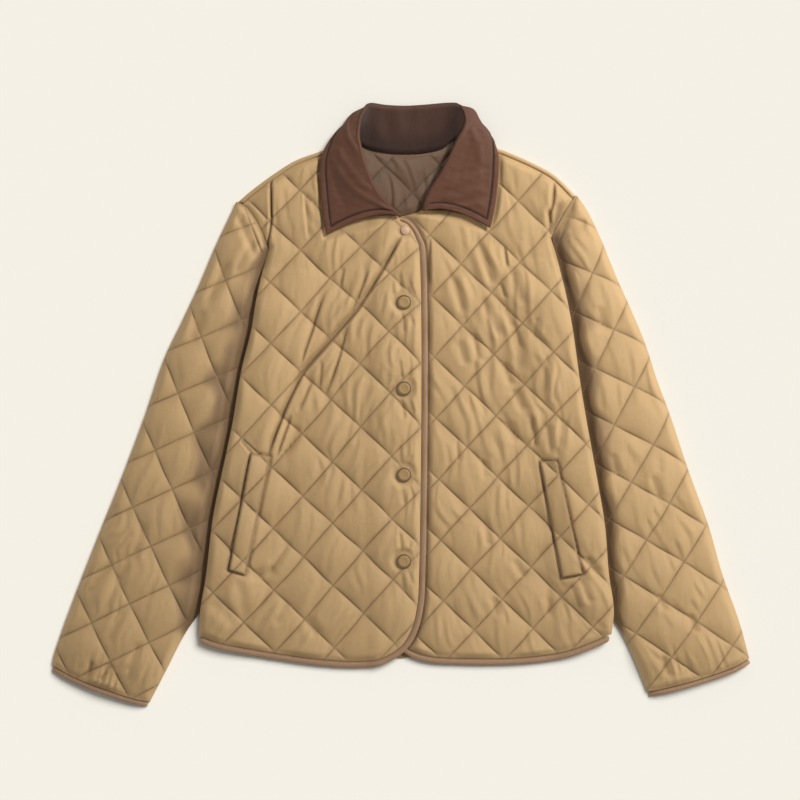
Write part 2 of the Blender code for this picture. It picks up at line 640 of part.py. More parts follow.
def shortened(run, line, distance):
    """The run with its start moved out to distance from a line, its other points kept."""
    dense = resample(run, 1.0)
    start = dense[distance_to(dense, line) >= distance][:1]
    return np.vstack([start, run[distance_to(run, line) > distance + JOIN / 2]])


# --------------------------------------------------------- outlines of pieces
def edge_run(hem, front_edge):
    """The hem and front edge of one front, as one smooth run."""
    return spline(hem + front_edge[1:], STEP)


def front_loop(side, shoulder, edge, neck):
    """The outline of a front panel, inside its binding and shoulder lip."""
    hem_side = offset(edge, side.inward * BINDING)
    shoulder_line = spline(shoulder, STEP)
    top = trimmed(offset(shoulder_line, side.inward * LIP), side.armhole, SEAM_GAP)
    armhole = shortened(side.armhole, shoulder_line, LIP)
    side_run = trimmed(side.edge, edge, BINDING)
    neck_run = trimmed(trimmed(spline(neck, STEP), edge, BINDING), shoulder_line, LIP)
    return chain(armhole, side_run, hem_side, neck_run, top)


def back_loop():
    """The outline of the back, with its hem hidden under the fronts'."""
    hem = offset(spline(HEM_BACK, STEP), BACK_HEM)
    sides = [trimmed(s.edge, spline(HEM_BACK, STEP), BACK_HEM) for s in (RIGHT, LEFT)]
    neck = lip_step(lip_step(spline(NECK_BACK, STEP))[::-1])[::-1]
    return chain(spline(SHOULDER_RIGHT, STEP), lip_step(RIGHT.armhole), sides[0], hem,
                 sides[1][::-1], lip_step(LEFT.armhole)[::-1],
                 spline(SHOULDER_LEFT, STEP)[::-1], neck)


def lip_step(run):
    """The run with two more points near its start, where the lip ends."""
    ahead = (run[1] - run[0]) / np.linalg.norm(run[1] - run[0])
    steps = [run[:1] + ahead * (LIP - before) for before in LIP_STEP]
    return np.vstack([run[:1], *steps, run[1:]])


def sleeve_loop(side):
    """The outline of a sleeve, inside its cuff binding."""
    seam = offset(side.armhole, -side.inward * 2 * SEAM_GAP)
    cuff = offset(side.cuff, -side.inward * (CUFF_BINDING + SEAM_GAP))
    shown = trimmed(side.shown, side.cuff, CUFF_BINDING + SEAM_GAP)
    outer = trimmed(side.outer, side.cuff, CUFF_BINDING + SEAM_GAP)
    return chain(seam, side.tucked_edge(), shown, cuff, outer[::-1])


# ----------------------------------------------------------- height functions
def back_top(points):
    """The back's inner face, with a lip along each shoulder."""
    return body_lift(points) + BACK_WALL + LIP_RISE * on_lip(points)


def on_lip(points):
    """1 on the back's lip over the shoulder, 0 off it."""
    away = np.minimum(distance_to(points, spline(SHOULDER_RIGHT, STEP)),
                      distance_to(points, spline(SHOULDER_LEFT, STEP)))
    return (away < LIP - sum(LIP_STEP) / 2).astype(float)


def back_bottom(points):
    """The back's outer face, flat on the ground but over the sleeves."""
    return body_lift(points)


def front_bottom(points, over):
    """The inside of a front, just above the back and the other front."""
    rise = body_lift(points)
    return rise + BACK_WALL + SEAM_GAP + LIFT_SLACK * smooth(rise / LIFT_SLACK) + (lap(points) if over else 0)


def front_top(points, name, over, loop, side, covers):
    """The outside of a front: puffed quilting, creases and rolled sides."""
    flat = np.zeros(len(points))
    for outline, margin in covers:
        flat = np.maximum(flat, pressed(points, outline, margin))
    if over:
        flat = np.maximum(flat, seated(points))
    to_edge = distance_to(points, loop, closed=True)
    puff = PUFF * quilt(points, LATTICE[name]) * smooth(to_edge / EDGE_EASE)
    height = np.maximum(FRONT_WALL + (puff + creases(points, name)) * (1 - flat), THINNEST)
    if over:
        height += SEAT_RISE * seated(points)
    roll = rolled(distance_to(points, side.edge), ROLL)
    return front_bottom(points, over) + THINNEST + (height - THINNEST) * roll


def sleeve_bottom(points, long_edges):
    """The sleeve's underside, flat with rolled long edges."""
    return EDGE_HEIGHT * (1 - rolled(distance_to(points, long_edges), ROLL / 2))


def sleeve_top(points, name, side, loop, long_edges):
    """The sleeve's upper side, crowned, quilted and tucked under the body."""
    edge = distance_to(points, long_edges)
    to_ends = np.minimum(distance_to(points, side.cuff), distance_to(points, side.armhole) + CROWN_TOP)
    left, run = CROWN_ENDS
    crown = SLEEVE_CROWN * rolled(edge, CROWN_RUN) * (left + (1 - left) * smooth(to_ends / run))
    puff = SLEEVE_PUFF * quilt(points, LATTICE[name]) * smooth(
        distance_to(points, loop, closed=True) / EDGE_EASE)
    full = SLEEVE_SEAM + crown + puff + creases(points, name)
    full = EDGE_HEIGHT + THINNEST + (full - EDGE_HEIGHT - THINNEST) * rolled(edge, SLEEVE_ROLL)
    rise, fade = SEAM_RISE
    rise = rise * smooth((points[:, 1] - side.edge[0][1] + fade) / fade)
    low = np.maximum(body_lift(points) - UNDER_BODY, SLOT[1] + SLOT_UNDER + rise)
    outside = side_distance(points, side)
    return np.where(outside > 0, low + (full - low) * smooth(outside / GROOVE),
                    np.minimum(low, body_lift(points) - UNDER_BODY))


def side_distance(points, side):
    """Distance to the body's side edge or armhole, negative under the body."""
    line = np.vstack([side.armhole[:-1], side.edge])
    away = distance_to(points, line)
    body = np.vstack([line, [(0.0, -400.0), (0.0, 400.0)]])
    return np.where(inside(points, body), -away, away)


# -------------------------------------------------------------------- pieces
def underside_points(loop, side, lap_lines):
    """Points for a plain underside: close where it bends, few elsewhere."""
    near = side.rings() if not isinstance(side, tuple) else np.vstack([s.rings() for s in side])
    if lap_lines:
        ys = np.arange(loop[:, 1].min(), loop[:, 1].max(), 2 * STEP)
        xs = LAP_EDGE_X - LAP_RAMP + LAP_REACH * np.linspace(0, 1, 5)
        near = np.vstack([near] + [np.stack([np.full(len(ys), x), ys], axis=1) for x in xs])
    near = near[inside(near, loop)]
    near = near[distance_to(near, loop, closed=True) > 4.0]
    far = coarse_points(loop, COARSE, 10.0)
    gaps = np.linalg.norm(far[:, None] - near[None], axis=2).min(axis=1)
    return np.vstack([near, far[gaps > STEP]])


def build_back():
    """The back, flat on the ground, with a lip rolled over each shoulder."""
    loop = back_loop()
    points = underside_points(loop, (RIGHT, LEFT), False)
    lips = [offset(spline(s, STEP), way * d) for s, way in ((SHOULDER_RIGHT, 1), (SHOULDER_LEFT, -1))
            for d in (LIP - LIP_STEP[0], LIP - LIP_STEP[1])]
    lips = np.vstack(lips)
    lips = lips[inside(lips, loop)]
    fine = np.vstack([points[distance_to(points, loop, closed=True) > LIP], lips])
    panel("back_panel", loop, back_top, back_bottom, fine, points, "shell")


def build_front(name, side, shoulder, edge, neck, over, welt, covers, lines):
    """A front panel with its pocket welt."""
    loop = front_loop(side, shoulder, edge, neck)
    around_line, around_insert, around_edge = CLEAR
    fine = lattice_points(loop, LATTICE[name], NEAR_EDGE[0])
    inserts = [resample(np.vstack([welt, welt[:1]]), STEP)[:-1]]
    if over:
        inserts += [circle(centre, radius, 12) for centre, radius in seats()]
    lines = [offset(side.edge, side.inward * SIDE_LINE)] + lines
    lines = np.vstack(lines)
    lines = lines[inside(lines, loop)]
    lines = lines[distance_to(lines, loop, closed=True) > around_edge]
    apart = np.linalg.norm(fine[:, None] - lines[None], axis=2).min(axis=1)
    fine = np.vstack([fine[apart > around_line], lines])
    for insert in inserts:
        fine = fine[distance_to(fine, insert, closed=True) > around_insert]

    def top(points):
        return front_top(points, name, over, loop, side, covers)

    def bottom(points):
        return front_bottom(points, over)

    _, upper, faces = panel(name, loop, top, bottom, fine, underside_points(loop, side, over),
                            "shell", inserts)
    patch_on("welt_" + name.split("_")[1], inserts[0], upper, faces, top, SEAM_GAP,
             lambda p: np.full(len(p), WELT_WALL), "shell")
    return top


def strip_sections(run, way, width, base, height):
    """Sections of a binding strip that lies along a run of an outline."""
    low, high = TAPE_SIDE
    normal = left_normal(run) * way
    sections = []
    for p, n, z in zip(run, normal, base):
        near, mid = p + n * width, p + n * width * TAPE_CREST
        sections.append([(*near, z), (*mid, z), (*p, z + height * low), (*p, z + height * high),
                         (*mid, z + height), (*near, z + height)])
    return sections


def build_edge_bindings(edges):
    """The binding of each front's edge and hem, and of the back's hem."""
    for name, side, edge, over in edges:
        base = front_bottom(edge, over)
        base = np.maximum(base, front_bottom(offset(edge, side.inward * BINDING_WIDTH), over))
        sections = strip_sections(edge, side.inward, BINDING_WIDTH, base, FRONT_WALL)
        sweep("binding_" + name, sections, "binding")
    hem = offset(spline(HEM_BACK, STEP), BACK_HEM - BINDING)[1:-1]
    base = np.maximum(back_bottom(hem), back_bottom(offset(hem, BINDING_WIDTH)))
    sweep("binding_back", strip_sections(hem, 1, BINDING_WIDTH, base, BACK_TAPE_HEIGHT), "binding")


def build_sleeve(name, side):
    """A one-piece sleeve, laid flat, with its inside open from end to end."""
    loop = sleeve_loop(side)
    inner = np.vstack([side.tucked_edge(), side.shown])
    long_edges = np.vstack([side.outer[::-1], [(0.0, 900.0)], inner])
    fine = lattice_points(loop, LATTICE[name], NEAR_EDGE[1])
    ring = np.vstack([offset(side.outer, side.inward * SLEEVE_LINE),
                      offset(side.shown, -side.inward * SLEEVE_LINE)])
    ring = ring[inside(ring, loop)]
    ring = ring[distance_to(ring, loop, closed=True) > CLEAR[2]]
    under = np.vstack([coarse_points(loop, COARSE, 14.0), inset_loop(loop, 4.5)[::2]])

    def top(points):
        return sleeve_top(points, name, side, loop, long_edges)

    def bottom(points):
        return np.minimum(sleeve_bottom(points, long_edges), top(points) - SLEEVE_WALL)

    sleeve, _, _ = panel(name, loop, top, bottom, np.vstack([fine, ring]), under, "shell")
    cut_slot(sleeve, side, inner)
    return top


def cut_slot(sleeve, side, inner):
    """Opens the sleeve's inside with a thin cutter that runs out of both ends."""
    outer = resample(side.outer, 1.0)
    inner = resample(inner, 1.0)
    left, right = [], []
    for k in range(SLOT_ROWS + 1):
        s = k / SLOT_ROWS
        a = outer[round(s * (len(outer) - 1))]
        b = inner[round(s * (len(inner) - 1))]
        left.append(a + (b - a) * SLOT_OUTER)
        right.append(a + (b - a) * (SLOT_INNER[0] + (SLOT_INNER[1] - SLOT_INNER[0]) * s))
    ahead = [(line[0] - line[1]) / np.linalg.norm(line[0] - line[1]) for line in (left, right)]
    past = [(line[-1] - line[-2]) / np.linalg.norm(line[-1] - line[-2]) for line in (left, right)]
    before, after = SLOT_PAST
    left = [left[0] + ahead[0] * before] + left + [left[-1] + past[0] * after]
    right = [right[0] + ahead[1] * before] + right + [right[-1] + past[1] * after]
    sections = [[(*a, SLOT[0]), (*b, SLOT[0]), (*b, SLOT[1]), (*a, SLOT[1])]
                for a, b in zip(left, right)]
    cutter = sweep("cutter_" + sleeve.name, sections, "shell")
    cutter.hide_render = True
    cutter.display_type = "WIRE"
    slot = sleeve.modifiers.new("slot", "BOOLEAN")
    slot.operation = "DIFFERENCE"
    slot.solver = "EXACT"
    slot.object = cutter


def build_cuff(name, side, top):
    """The binding round a cuff, a flat ring."""
    run = resample(offset(side.cuff, -side.inward * CUFF_BINDING / 2), CUFF_SPACING)
    normal = left_normal(run) * -side.inward
    across = np.linspace(-1, 1, len(run))
    level = top(run + normal * (CUFF_BINDING / 2 + 1.0))
    level = np.maximum(level, EDGE_HEIGHT + 2 * CUFF_WALL)
    upper = EDGE_HEIGHT + (level - EDGE_HEIGHT) * np.sqrt(1 - across ** 8)
    lower = EDGE_HEIGHT * (1 - np.sqrt(1 - across ** 12))
    along = np.concatenate([[0], np.cumsum(np.linalg.norm(np.diff(run, axis=0), axis=1))])
    outer = np.vstack([np.column_stack([along, upper]),
                       np.column_stack([along, lower])[-2:0:-1]])
    tangent = np.roll(outer, -1, axis=0) - np.roll(outer, 1, axis=0)
    tangent /= np.linalg.norm(tangent, axis=1)[:, None]
    inner = outer + CUFF_WALL * np.stack([tangent[:, 1], -tangent[:, 0]], axis=1)
    half = CUFF_BINDING / 2 - SEAM_GAP
    sections = []
    for (s_out, z_out), (s_in, z_in) in zip(outer, inner):
        places = [np.array([np.interp(s, along, run[:, 0]), np.interp(s, along, run[:, 1])])
                  for s in (s_out, s_in)]
        out_of = np.array([np.interp(s_out, along, normal[:, 0]),
                           np.interp(s_out, along, normal[:, 1])]) * half
        sections.append([(*(places[0] - out_of), z_out), (*(places[0] + out_of), z_out),
                         (*(places[1] + out_of), z_in), (*(places[1] - out_of), z_in)])
    sweep("binding_cuff_" + name.split("_")[1], sections, "binding", closed=True)


def build_lining():
    """The quilted lining of the back, as far as the neck shows it."""
    left_run = offset(spline(NECK_RIGHT[2:][::-1], STEP), LINING_GAP)
    right_run = offset(spline(NECK_LEFT[1:], STEP), LINING_GAP)
    top_run = offset(spline(NECK_BACK, STEP), LINING_GAP)
    for shoulder in (SHOULDER_RIGHT, SHOULDER_LEFT):
        line = spline(shoulder, STEP)
        left_run, right_run, top_run = (trimmed(run, line, LIP + LINING_GAP)
                                        for run in (left_run, right_run, top_run))
    loop = chain(left_run, right_run, top_run)
    grid = LATTICE["lining"]

    def top(points):
        to_edge = distance_to(points, loop, closed=True)
        puff = LINING_PUFF * quilt(points, grid) * smooth(to_edge / LINING_EASE)
        return back_top(points) + SEAM_GAP + LINING_WALL + puff

    def bottom(points):
        return back_top(points) + SEAM_GAP

    panel("lining_neck", loop, top, bottom, lattice_points(loop, grid, NEAR_EDGE[2]),
          coarse_points(loop, COARSE, LINING_EASE), "lining")


def build_fasteners():
    """The covered snap caps down the lap and the small stud at the neck."""
    level = FRONT_WALL + SEAT_RISE + BACK_WALL + 2 * SEAM_GAP + LAP_RISE
    for k, place in enumerate(snap_places(), 1):
        build_cap(f"snap_{k}", place, level, SNAP_DIAMETER, SNAP_HEIGHT, "snap")
    build_cap("stud_neck", STUD_AT, level, STUD_DIAMETER, STUD_HEIGHT, "stud")


def build_cap(name, place, level, diameter, height, colour):
    """A low round cap with a dished middle."""
    sections = [[(x, y, level + height * up) for x, y in circle(place, diameter / 2 * out, CAP_SIDES)]
                for out, up in CAP_PROFILE]
    sweep(name, sections, colour)


def build_collar():
    """The collar, one band folded over round the neck."""
    table = np.array(COLLAR_STATIONS, float)
    at = np.linspace(0, len(table) - 1, COLLAR_ROWS)
    rows = np.stack([catmull(table[:, k], at) for k in range(table.shape[1])], axis=1)
    middle = []
    for row in rows:
        s = dict(zip(COLLAR_COLUMNS, row))
        neck, fold, turn, edge = (np.array([s[c + "x"], s[c + "y"], s[c + "z"]]) for c in "nfte")
        middle.append(collar_section(neck, fold, turn, edge, math.radians(s["turn"])))
    middle = np.array(middle)
    normal = surface_normals(middle)
    half = COLLAR_WALL / 2
    rings = np.concatenate([middle + normal * half, (middle - normal * half)[:, ::-1]], axis=1)
    sweep("collar", rings, "collar")


def collar_section(neck, fold, turn, edge, angle):
    """The middle of the cloth from the neck seam over the fold to the edge."""
    outward = turn[:2] - fold[:2]
    across = np.array([*(outward / np.linalg.norm(outward)), 0.0])
    up = np.array([0.0, 0.0, 1.0])
    to_fall = math.cos(angle) * across + math.sin(angle) * up
    into_fold = math.cos(angle) * up - math.sin(angle) * across
    centre = fold - into_fold * COLLAR_FOLD_RADIUS
    bend = [centre + COLLAR_FOLD_RADIUS * (math.sin(b) * to_fall + math.cos(b) * into_fold)
            for b in np.radians(BEND_ANGLES)]
    stand = [neck + (bend[0] - neck) * k / STAND_POINTS for k in range(STAND_POINTS)]
    fall = bezier(bend[-1], turn, edge, FALL_POINTS)
    return np.array(stand + bend + list(fall[1:]))


def bezier(start, through, end, count):
    """A smooth curve from start to end that passes through a middle point."""
    control = 2 * through - (start + end) / 2
    t = np.linspace(0, 1, count)[:, None]
    return (1 - t) ** 2 * start + 2 * t * (1 - t) * control + t ** 2 * end


def catmull(values, at):
    """A smooth curve through evenly numbered values, read at any numbers."""
    ends = np.concatenate([[2 * values[0] - values[1]], values, [2 * values[-1] - values[-2]]])
    i = np.clip(at.astype(int), 0, len(values) - 2)
    t = at - i
    p0, p1, p2, p3 = (ends[i + k] for k in range(4))
    return 0.5 * (2 * p1 + (p2 - p0) * t + (2 * p0 - 5 * p1 + 4 * p2 - p3) * t ** 2
                  + (3 * p1 - p0 - 3 * p2 + p3) * t ** 3)


def surface_normals(grid):
    """Unit normals of a grid of points."""
    normal = np.cross(np.gradient(grid, axis=1), np.gradient(grid, axis=0))
    return normal / np.linalg.norm(normal, axis=2)[:, :, None]


RIGHT = Side(SIDE_RIGHT, ARMHOLE_RIGHT, SLEEVE_OUTER_RIGHT, SLEEVE_SHOWN_RIGHT, CUFF_RIGHT, 1)
LEFT = Side(SIDE_LEFT, ARMHOLE_LEFT, SLEEVE_OUTER_LEFT, SLEEVE_SHOWN_LEFT, CUFF_LEFT, -1)


def main():
    """Builds every piece of the jacket."""
    for obj in list(bpy.data.objects):
        bpy.data.objects.remove(obj, do_unlink=True)
    collar = (collar_outline(), PRESS_MARGIN)
    edge_right = edge_run(HEM_RIGHT, FRONT_EDGE_RIGHT)
    edge_left = edge_run(HEM_LEFT, FRONT_EDGE_LEFT)
    over_left = np.vstack([edge_right, spline(NECK_RIGHT, STEP)])
    build_back()
    build_front("front_left", LEFT, SHOULDER_LEFT, edge_left, NECK_LEFT, False, WELT_LEFT,
                [collar, (over_left, PRESS_MARGIN)], [offset(edge_right, -PRESS_HOLD)])
    build_front("front_right", RIGHT, SHOULDER_RIGHT, edge_right, NECK_RIGHT, True, WELT_RIGHT,
                [collar], [])
    build_edge_bindings([("front_right", RIGHT, edge_right, True),
                         ("front_left", LEFT, edge_left, False)])
    for name, side in (("sleeve_right", RIGHT), ("sleeve_left", LEFT)):
        build_cuff(name, side, build_sleeve(name, side))
    build_lining()
    build_fasteners()
    build_collar()


main()
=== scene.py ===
"""Looks of the quilted jacket: the fine cloth, its sewing, trims and studio.

Outlines, widths and heights are in millimetres and become metres where a mesh
is made. The jacket lies on z = 0 with its neck towards +Y.  Right and left
are the wearer's, so the right front and sleeve are on the -X side.
"""
import json
import logging
import math
from collections.abc import Callable, Sequence
from dataclasses import dataclass
from enum import Enum
from functools import cached_property

import bpy
import numpy as np
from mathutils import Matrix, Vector
from mathutils.bvhtree import BVHTree
from mathutils.geometry import delaunay_2d_cdt

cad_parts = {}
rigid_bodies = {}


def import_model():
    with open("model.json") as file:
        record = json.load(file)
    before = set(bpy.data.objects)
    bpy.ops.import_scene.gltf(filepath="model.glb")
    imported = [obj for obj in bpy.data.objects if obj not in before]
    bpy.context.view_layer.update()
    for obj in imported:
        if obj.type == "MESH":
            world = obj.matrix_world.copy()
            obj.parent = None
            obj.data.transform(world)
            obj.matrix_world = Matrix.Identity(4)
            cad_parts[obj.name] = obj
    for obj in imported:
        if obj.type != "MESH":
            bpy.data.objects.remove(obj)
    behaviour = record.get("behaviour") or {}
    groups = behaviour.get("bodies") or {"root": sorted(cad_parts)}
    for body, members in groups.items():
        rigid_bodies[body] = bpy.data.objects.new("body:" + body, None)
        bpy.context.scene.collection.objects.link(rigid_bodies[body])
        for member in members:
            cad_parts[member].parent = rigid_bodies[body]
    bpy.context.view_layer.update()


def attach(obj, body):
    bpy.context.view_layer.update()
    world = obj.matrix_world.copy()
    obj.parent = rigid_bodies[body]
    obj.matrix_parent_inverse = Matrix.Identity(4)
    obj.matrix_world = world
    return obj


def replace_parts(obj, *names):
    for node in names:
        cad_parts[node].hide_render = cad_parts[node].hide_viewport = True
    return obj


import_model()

LOG = logging.getLogger("jacket")
MM = 0.001
SQUARE_MM = MM * MM
EDGE_SLACK = 0.1

Array = np.ndarray
Outline = Sequence[tuple[float, float]]
Height = Callable[[Array], Array]


# --- curves
def lengths_along(line: Array) -> Array:
    """How far each point of a line lies from its start, along the line."""
    return np.concatenate([[0.0], np.cumsum(np.linalg.norm(np.diff(line, axis=0), axis=1))])


def length_of(line: Array) -> float:
    """The whole length of a line, in mm."""
    return float(np.linalg.norm(np.diff(line, axis=0), axis=1).sum())


def read_at(at: Array, along: Array, table: Array) -> Array:
    """Reads each column of a table at places between its rows.

    Args:
        at: The places to read.
        along: The rows' own places, rising.
        table: The values, one row for each place.

    Returns:
        One row of values for each place that is read.
    """
    return np.stack([np.interp(at, along, column) for column in table.T], axis=1)


def bell(away: Array, width: float) -> Array:
    """1 at a distance of 0, fading over a width to either side."""
    return np.exp(-(away / width) ** 2)


def resample(line: Array, step: float) -> Array:
    """Gives a line points about step apart.

    Args:
        line: Points along the line, one a row.
        step: The wanted distance between points, in mm.

    Returns:
        The same line with even spacing, both ends kept.
    """
    along = lengths_along(line)
    count = max(2, round(along[-1] / step) + 1)
    return read_at(np.linspace(0.0, along[-1], count), along, line)


def spline(points: Outline, step: float) -> Array:
    """Draws a smooth curve through a short table of points.

    Args:
        points: The table's points, in order.
        step: The distance between the curve's points, in mm.

    Returns:
        Points on a centripetal curve that starts and ends on the table's.
    """
    table = np.array(points, float)
    ends = np.vstack([2 * table[0] - table[1], table, 2 * table[-1] - table[-2]])
    dense = []
    for i in range(1, len(ends) - 2):
        p0, p1, p2, p3 = ends[i - 1:i + 3]
        t1 = math.sqrt(np.linalg.norm(p1 - p0))
        t2 = t1 + math.sqrt(np.linalg.norm(p2 - p1))
        t3 = t2 + math.sqrt(np.linalg.norm(p3 - p2))
        for t in np.linspace(t1, t2, 16, endpoint=False):
            a1 = p0 + (p1 - p0) * t / t1
            a2 = p1 + (p2 - p1) * (t - t1) / (t2 - t1)
            a3 = p2 + (p3 - p2) * (t - t2) / (t3 - t2)
            b1 = a1 + (a2 - a1) * t / t2
            b2 = a2 + (a3 - a2) * (t - t1) / (t3 - t1)
            dense.append(b1 + (b2 - b1) * (t - t1) / (t2 - t1))
    dense.append(table[-1])
    return resample(np.array(dense), step)


def left_normal(line: Array, closed: bool = False) -> Array:
    """Gives the unit normals to the left of a flat line.

    Args:
        line: The line's points.
        closed: Whether the last point joins the first.

    Returns:
        One unit normal for each point.
    """
    if closed:
        tangent = np.roll(line, -1, axis=0) - np.roll(line, 1, axis=0)
    else:
        tangent = np.gradient(line, axis=0)
    tangent /= np.linalg.norm(tangent, axis=1)[:, None]
    return np.stack([-tangent[:, 1], tangent[:, 0]], axis=1)


def offset(line: Array, distance: float) -> Array:
    """Moves a flat line to its left by a distance in mm."""
    return line + distance * left_normal(line)


def distance_to(points: Array, line: Array, closed: bool = False) -> Array:
    """Measures how far points are from a line of straight pieces.

    Args:
        points: Flat points, one a row.
        line: The line's corners.
        closed: Whether the last corner joins the first.

    Returns:
        One distance in mm for each point.
    """
    ends = np.vstack([line[1:], line[:1]]) if closed else line[1:]
    best = np.full(len(points), np.inf)
    px, py = points[:, 0], points[:, 1]
    for (ax, ay), (bx, by) in zip(line, ends):
        dx, dy = bx - ax, by - ay
        t = np.clip(((px - ax) * dx + (py - ay) * dy) / max(dx * dx + dy * dy, 1e-9), 0, 1)
        best = np.minimum(best, (px - ax - t * dx) ** 2 + (py - ay - t * dy) ** 2)
    return np.sqrt(best)


def inside(points: Array, loop: Array) -> Array:
    """Tells which points lie inside a closed outline.

    Args:
        points: Flat points, one a row.
        loop: The outline's corners.

    Returns:
        True for each point inside.
    """
    x, y = points[:, 0], points[:, 1]
    odd = np.zeros(len(points), bool)
    for (x1, y1), (x2, y2) in zip(loop, np.roll(loop, -1, axis=0)):
        rise = y2 - y1 if y2 != y1 else 1e-12
        odd ^= ((y1 > y) != (y2 > y)) & (x < (x2 - x1) * (y - y1) / rise + x1)
    return odd


def turned_area(loop: Array) -> float:
    """The area in an outline, in square mm, negative if it runs clockwise."""
    after = np.roll(loop, -1, axis=0)
    return float(np.sum(loop[:, 0] * after[:, 1] - loop[:, 1] * after[:, 0])) / 2


def smooth(value: Array) -> Array:
    """Eases from 0 below 0 to 1 above 1."""
    t = np.clip(value, 0, 1)
    return t * t * (3 - 2 * t)


def eased_in(depth: Array, run: float) -> Array:
    """How freely cloth puffs a distance in from its edge: fully a run in."""
    return smooth(depth / run + EDGE_SLACK)


def rolled(depth: Array, radius: float) -> Array:
    """Rises from 0 at an edge to 1 a radius in, like a quarter circle."""
    t = np.clip(1 - depth / radius, 0, 1)
    return np.sqrt(1 - t * t)


def trimmed(run: Array, line: Array, distance: float, step: float) -> Array:
    """Cuts off the stretch of a run that is nearer than a distance to a line."""
    dense = resample(run, 0.5)
    return resample(dense[distance_to(dense, line) >= distance], step)


def chain(*runs: Array, join: float = 1.0) -> Array:
    """Joins runs that meet end to end into one anticlockwise outline.

    Args:
        runs: The runs, in order round the outline.
        join: Ends nearer than this, in mm, are one point.

    Returns:
        The outline's points.
    """
    loop = np.array(runs[0])
    for run in runs[1:]:
        meets = np.linalg.norm(run[0] - loop[-1]) < join
        loop = np.vstack([loop, run[1:] if meets else run])
    if np.linalg.norm(loop[0] - loop[-1]) < join:
        loop = loop[:-1]
    return loop if turned_area(loop) > 0 else loop[::-1]


def ripple_noise(points: Array, scale: float, seed: int) -> Array:
    """A smooth, repeatable unevenness between about -1 and 1.

    Args:
        points: Flat points, one a row.
        scale: The size of its features, in mm.
        seed: Which of many such patterns.

    Returns:
        One value for each point.
    """
    rng = np.random.default_rng(seed)
    total = np.zeros(len(points))
    for _ in range(9):
        angle = rng.uniform(0, 2 * math.pi)
        wave = 2 * math.pi / (scale * rng.uniform(0.7, 1.6))
        turn = rng.uniform(0, 2 * math.pi)
        total += np.sin(wave * (points[:, 0] * math.cos(angle) + points[:, 1] * math.sin(angle)) + turn)
    return total / 4.0


# --- pattern
@dataclass(frozen=True)
class Drift:
    """A place where the stitch lines wander off their even grid, in mm."""

    x: float
    y: float
    reach_x: float
    reach_y: float
    move_x: float
    move_y: float

    def move(self, points: Array) -> Array:
        """How far the lines have moved at flat points."""
        away = (points - (self.x, self.y)) / (self.reach_x, self.reach_y)
        return np.exp(-np.sum(away ** 2, axis=1))[:, None] * np.array([self.move_x, self.move_y])


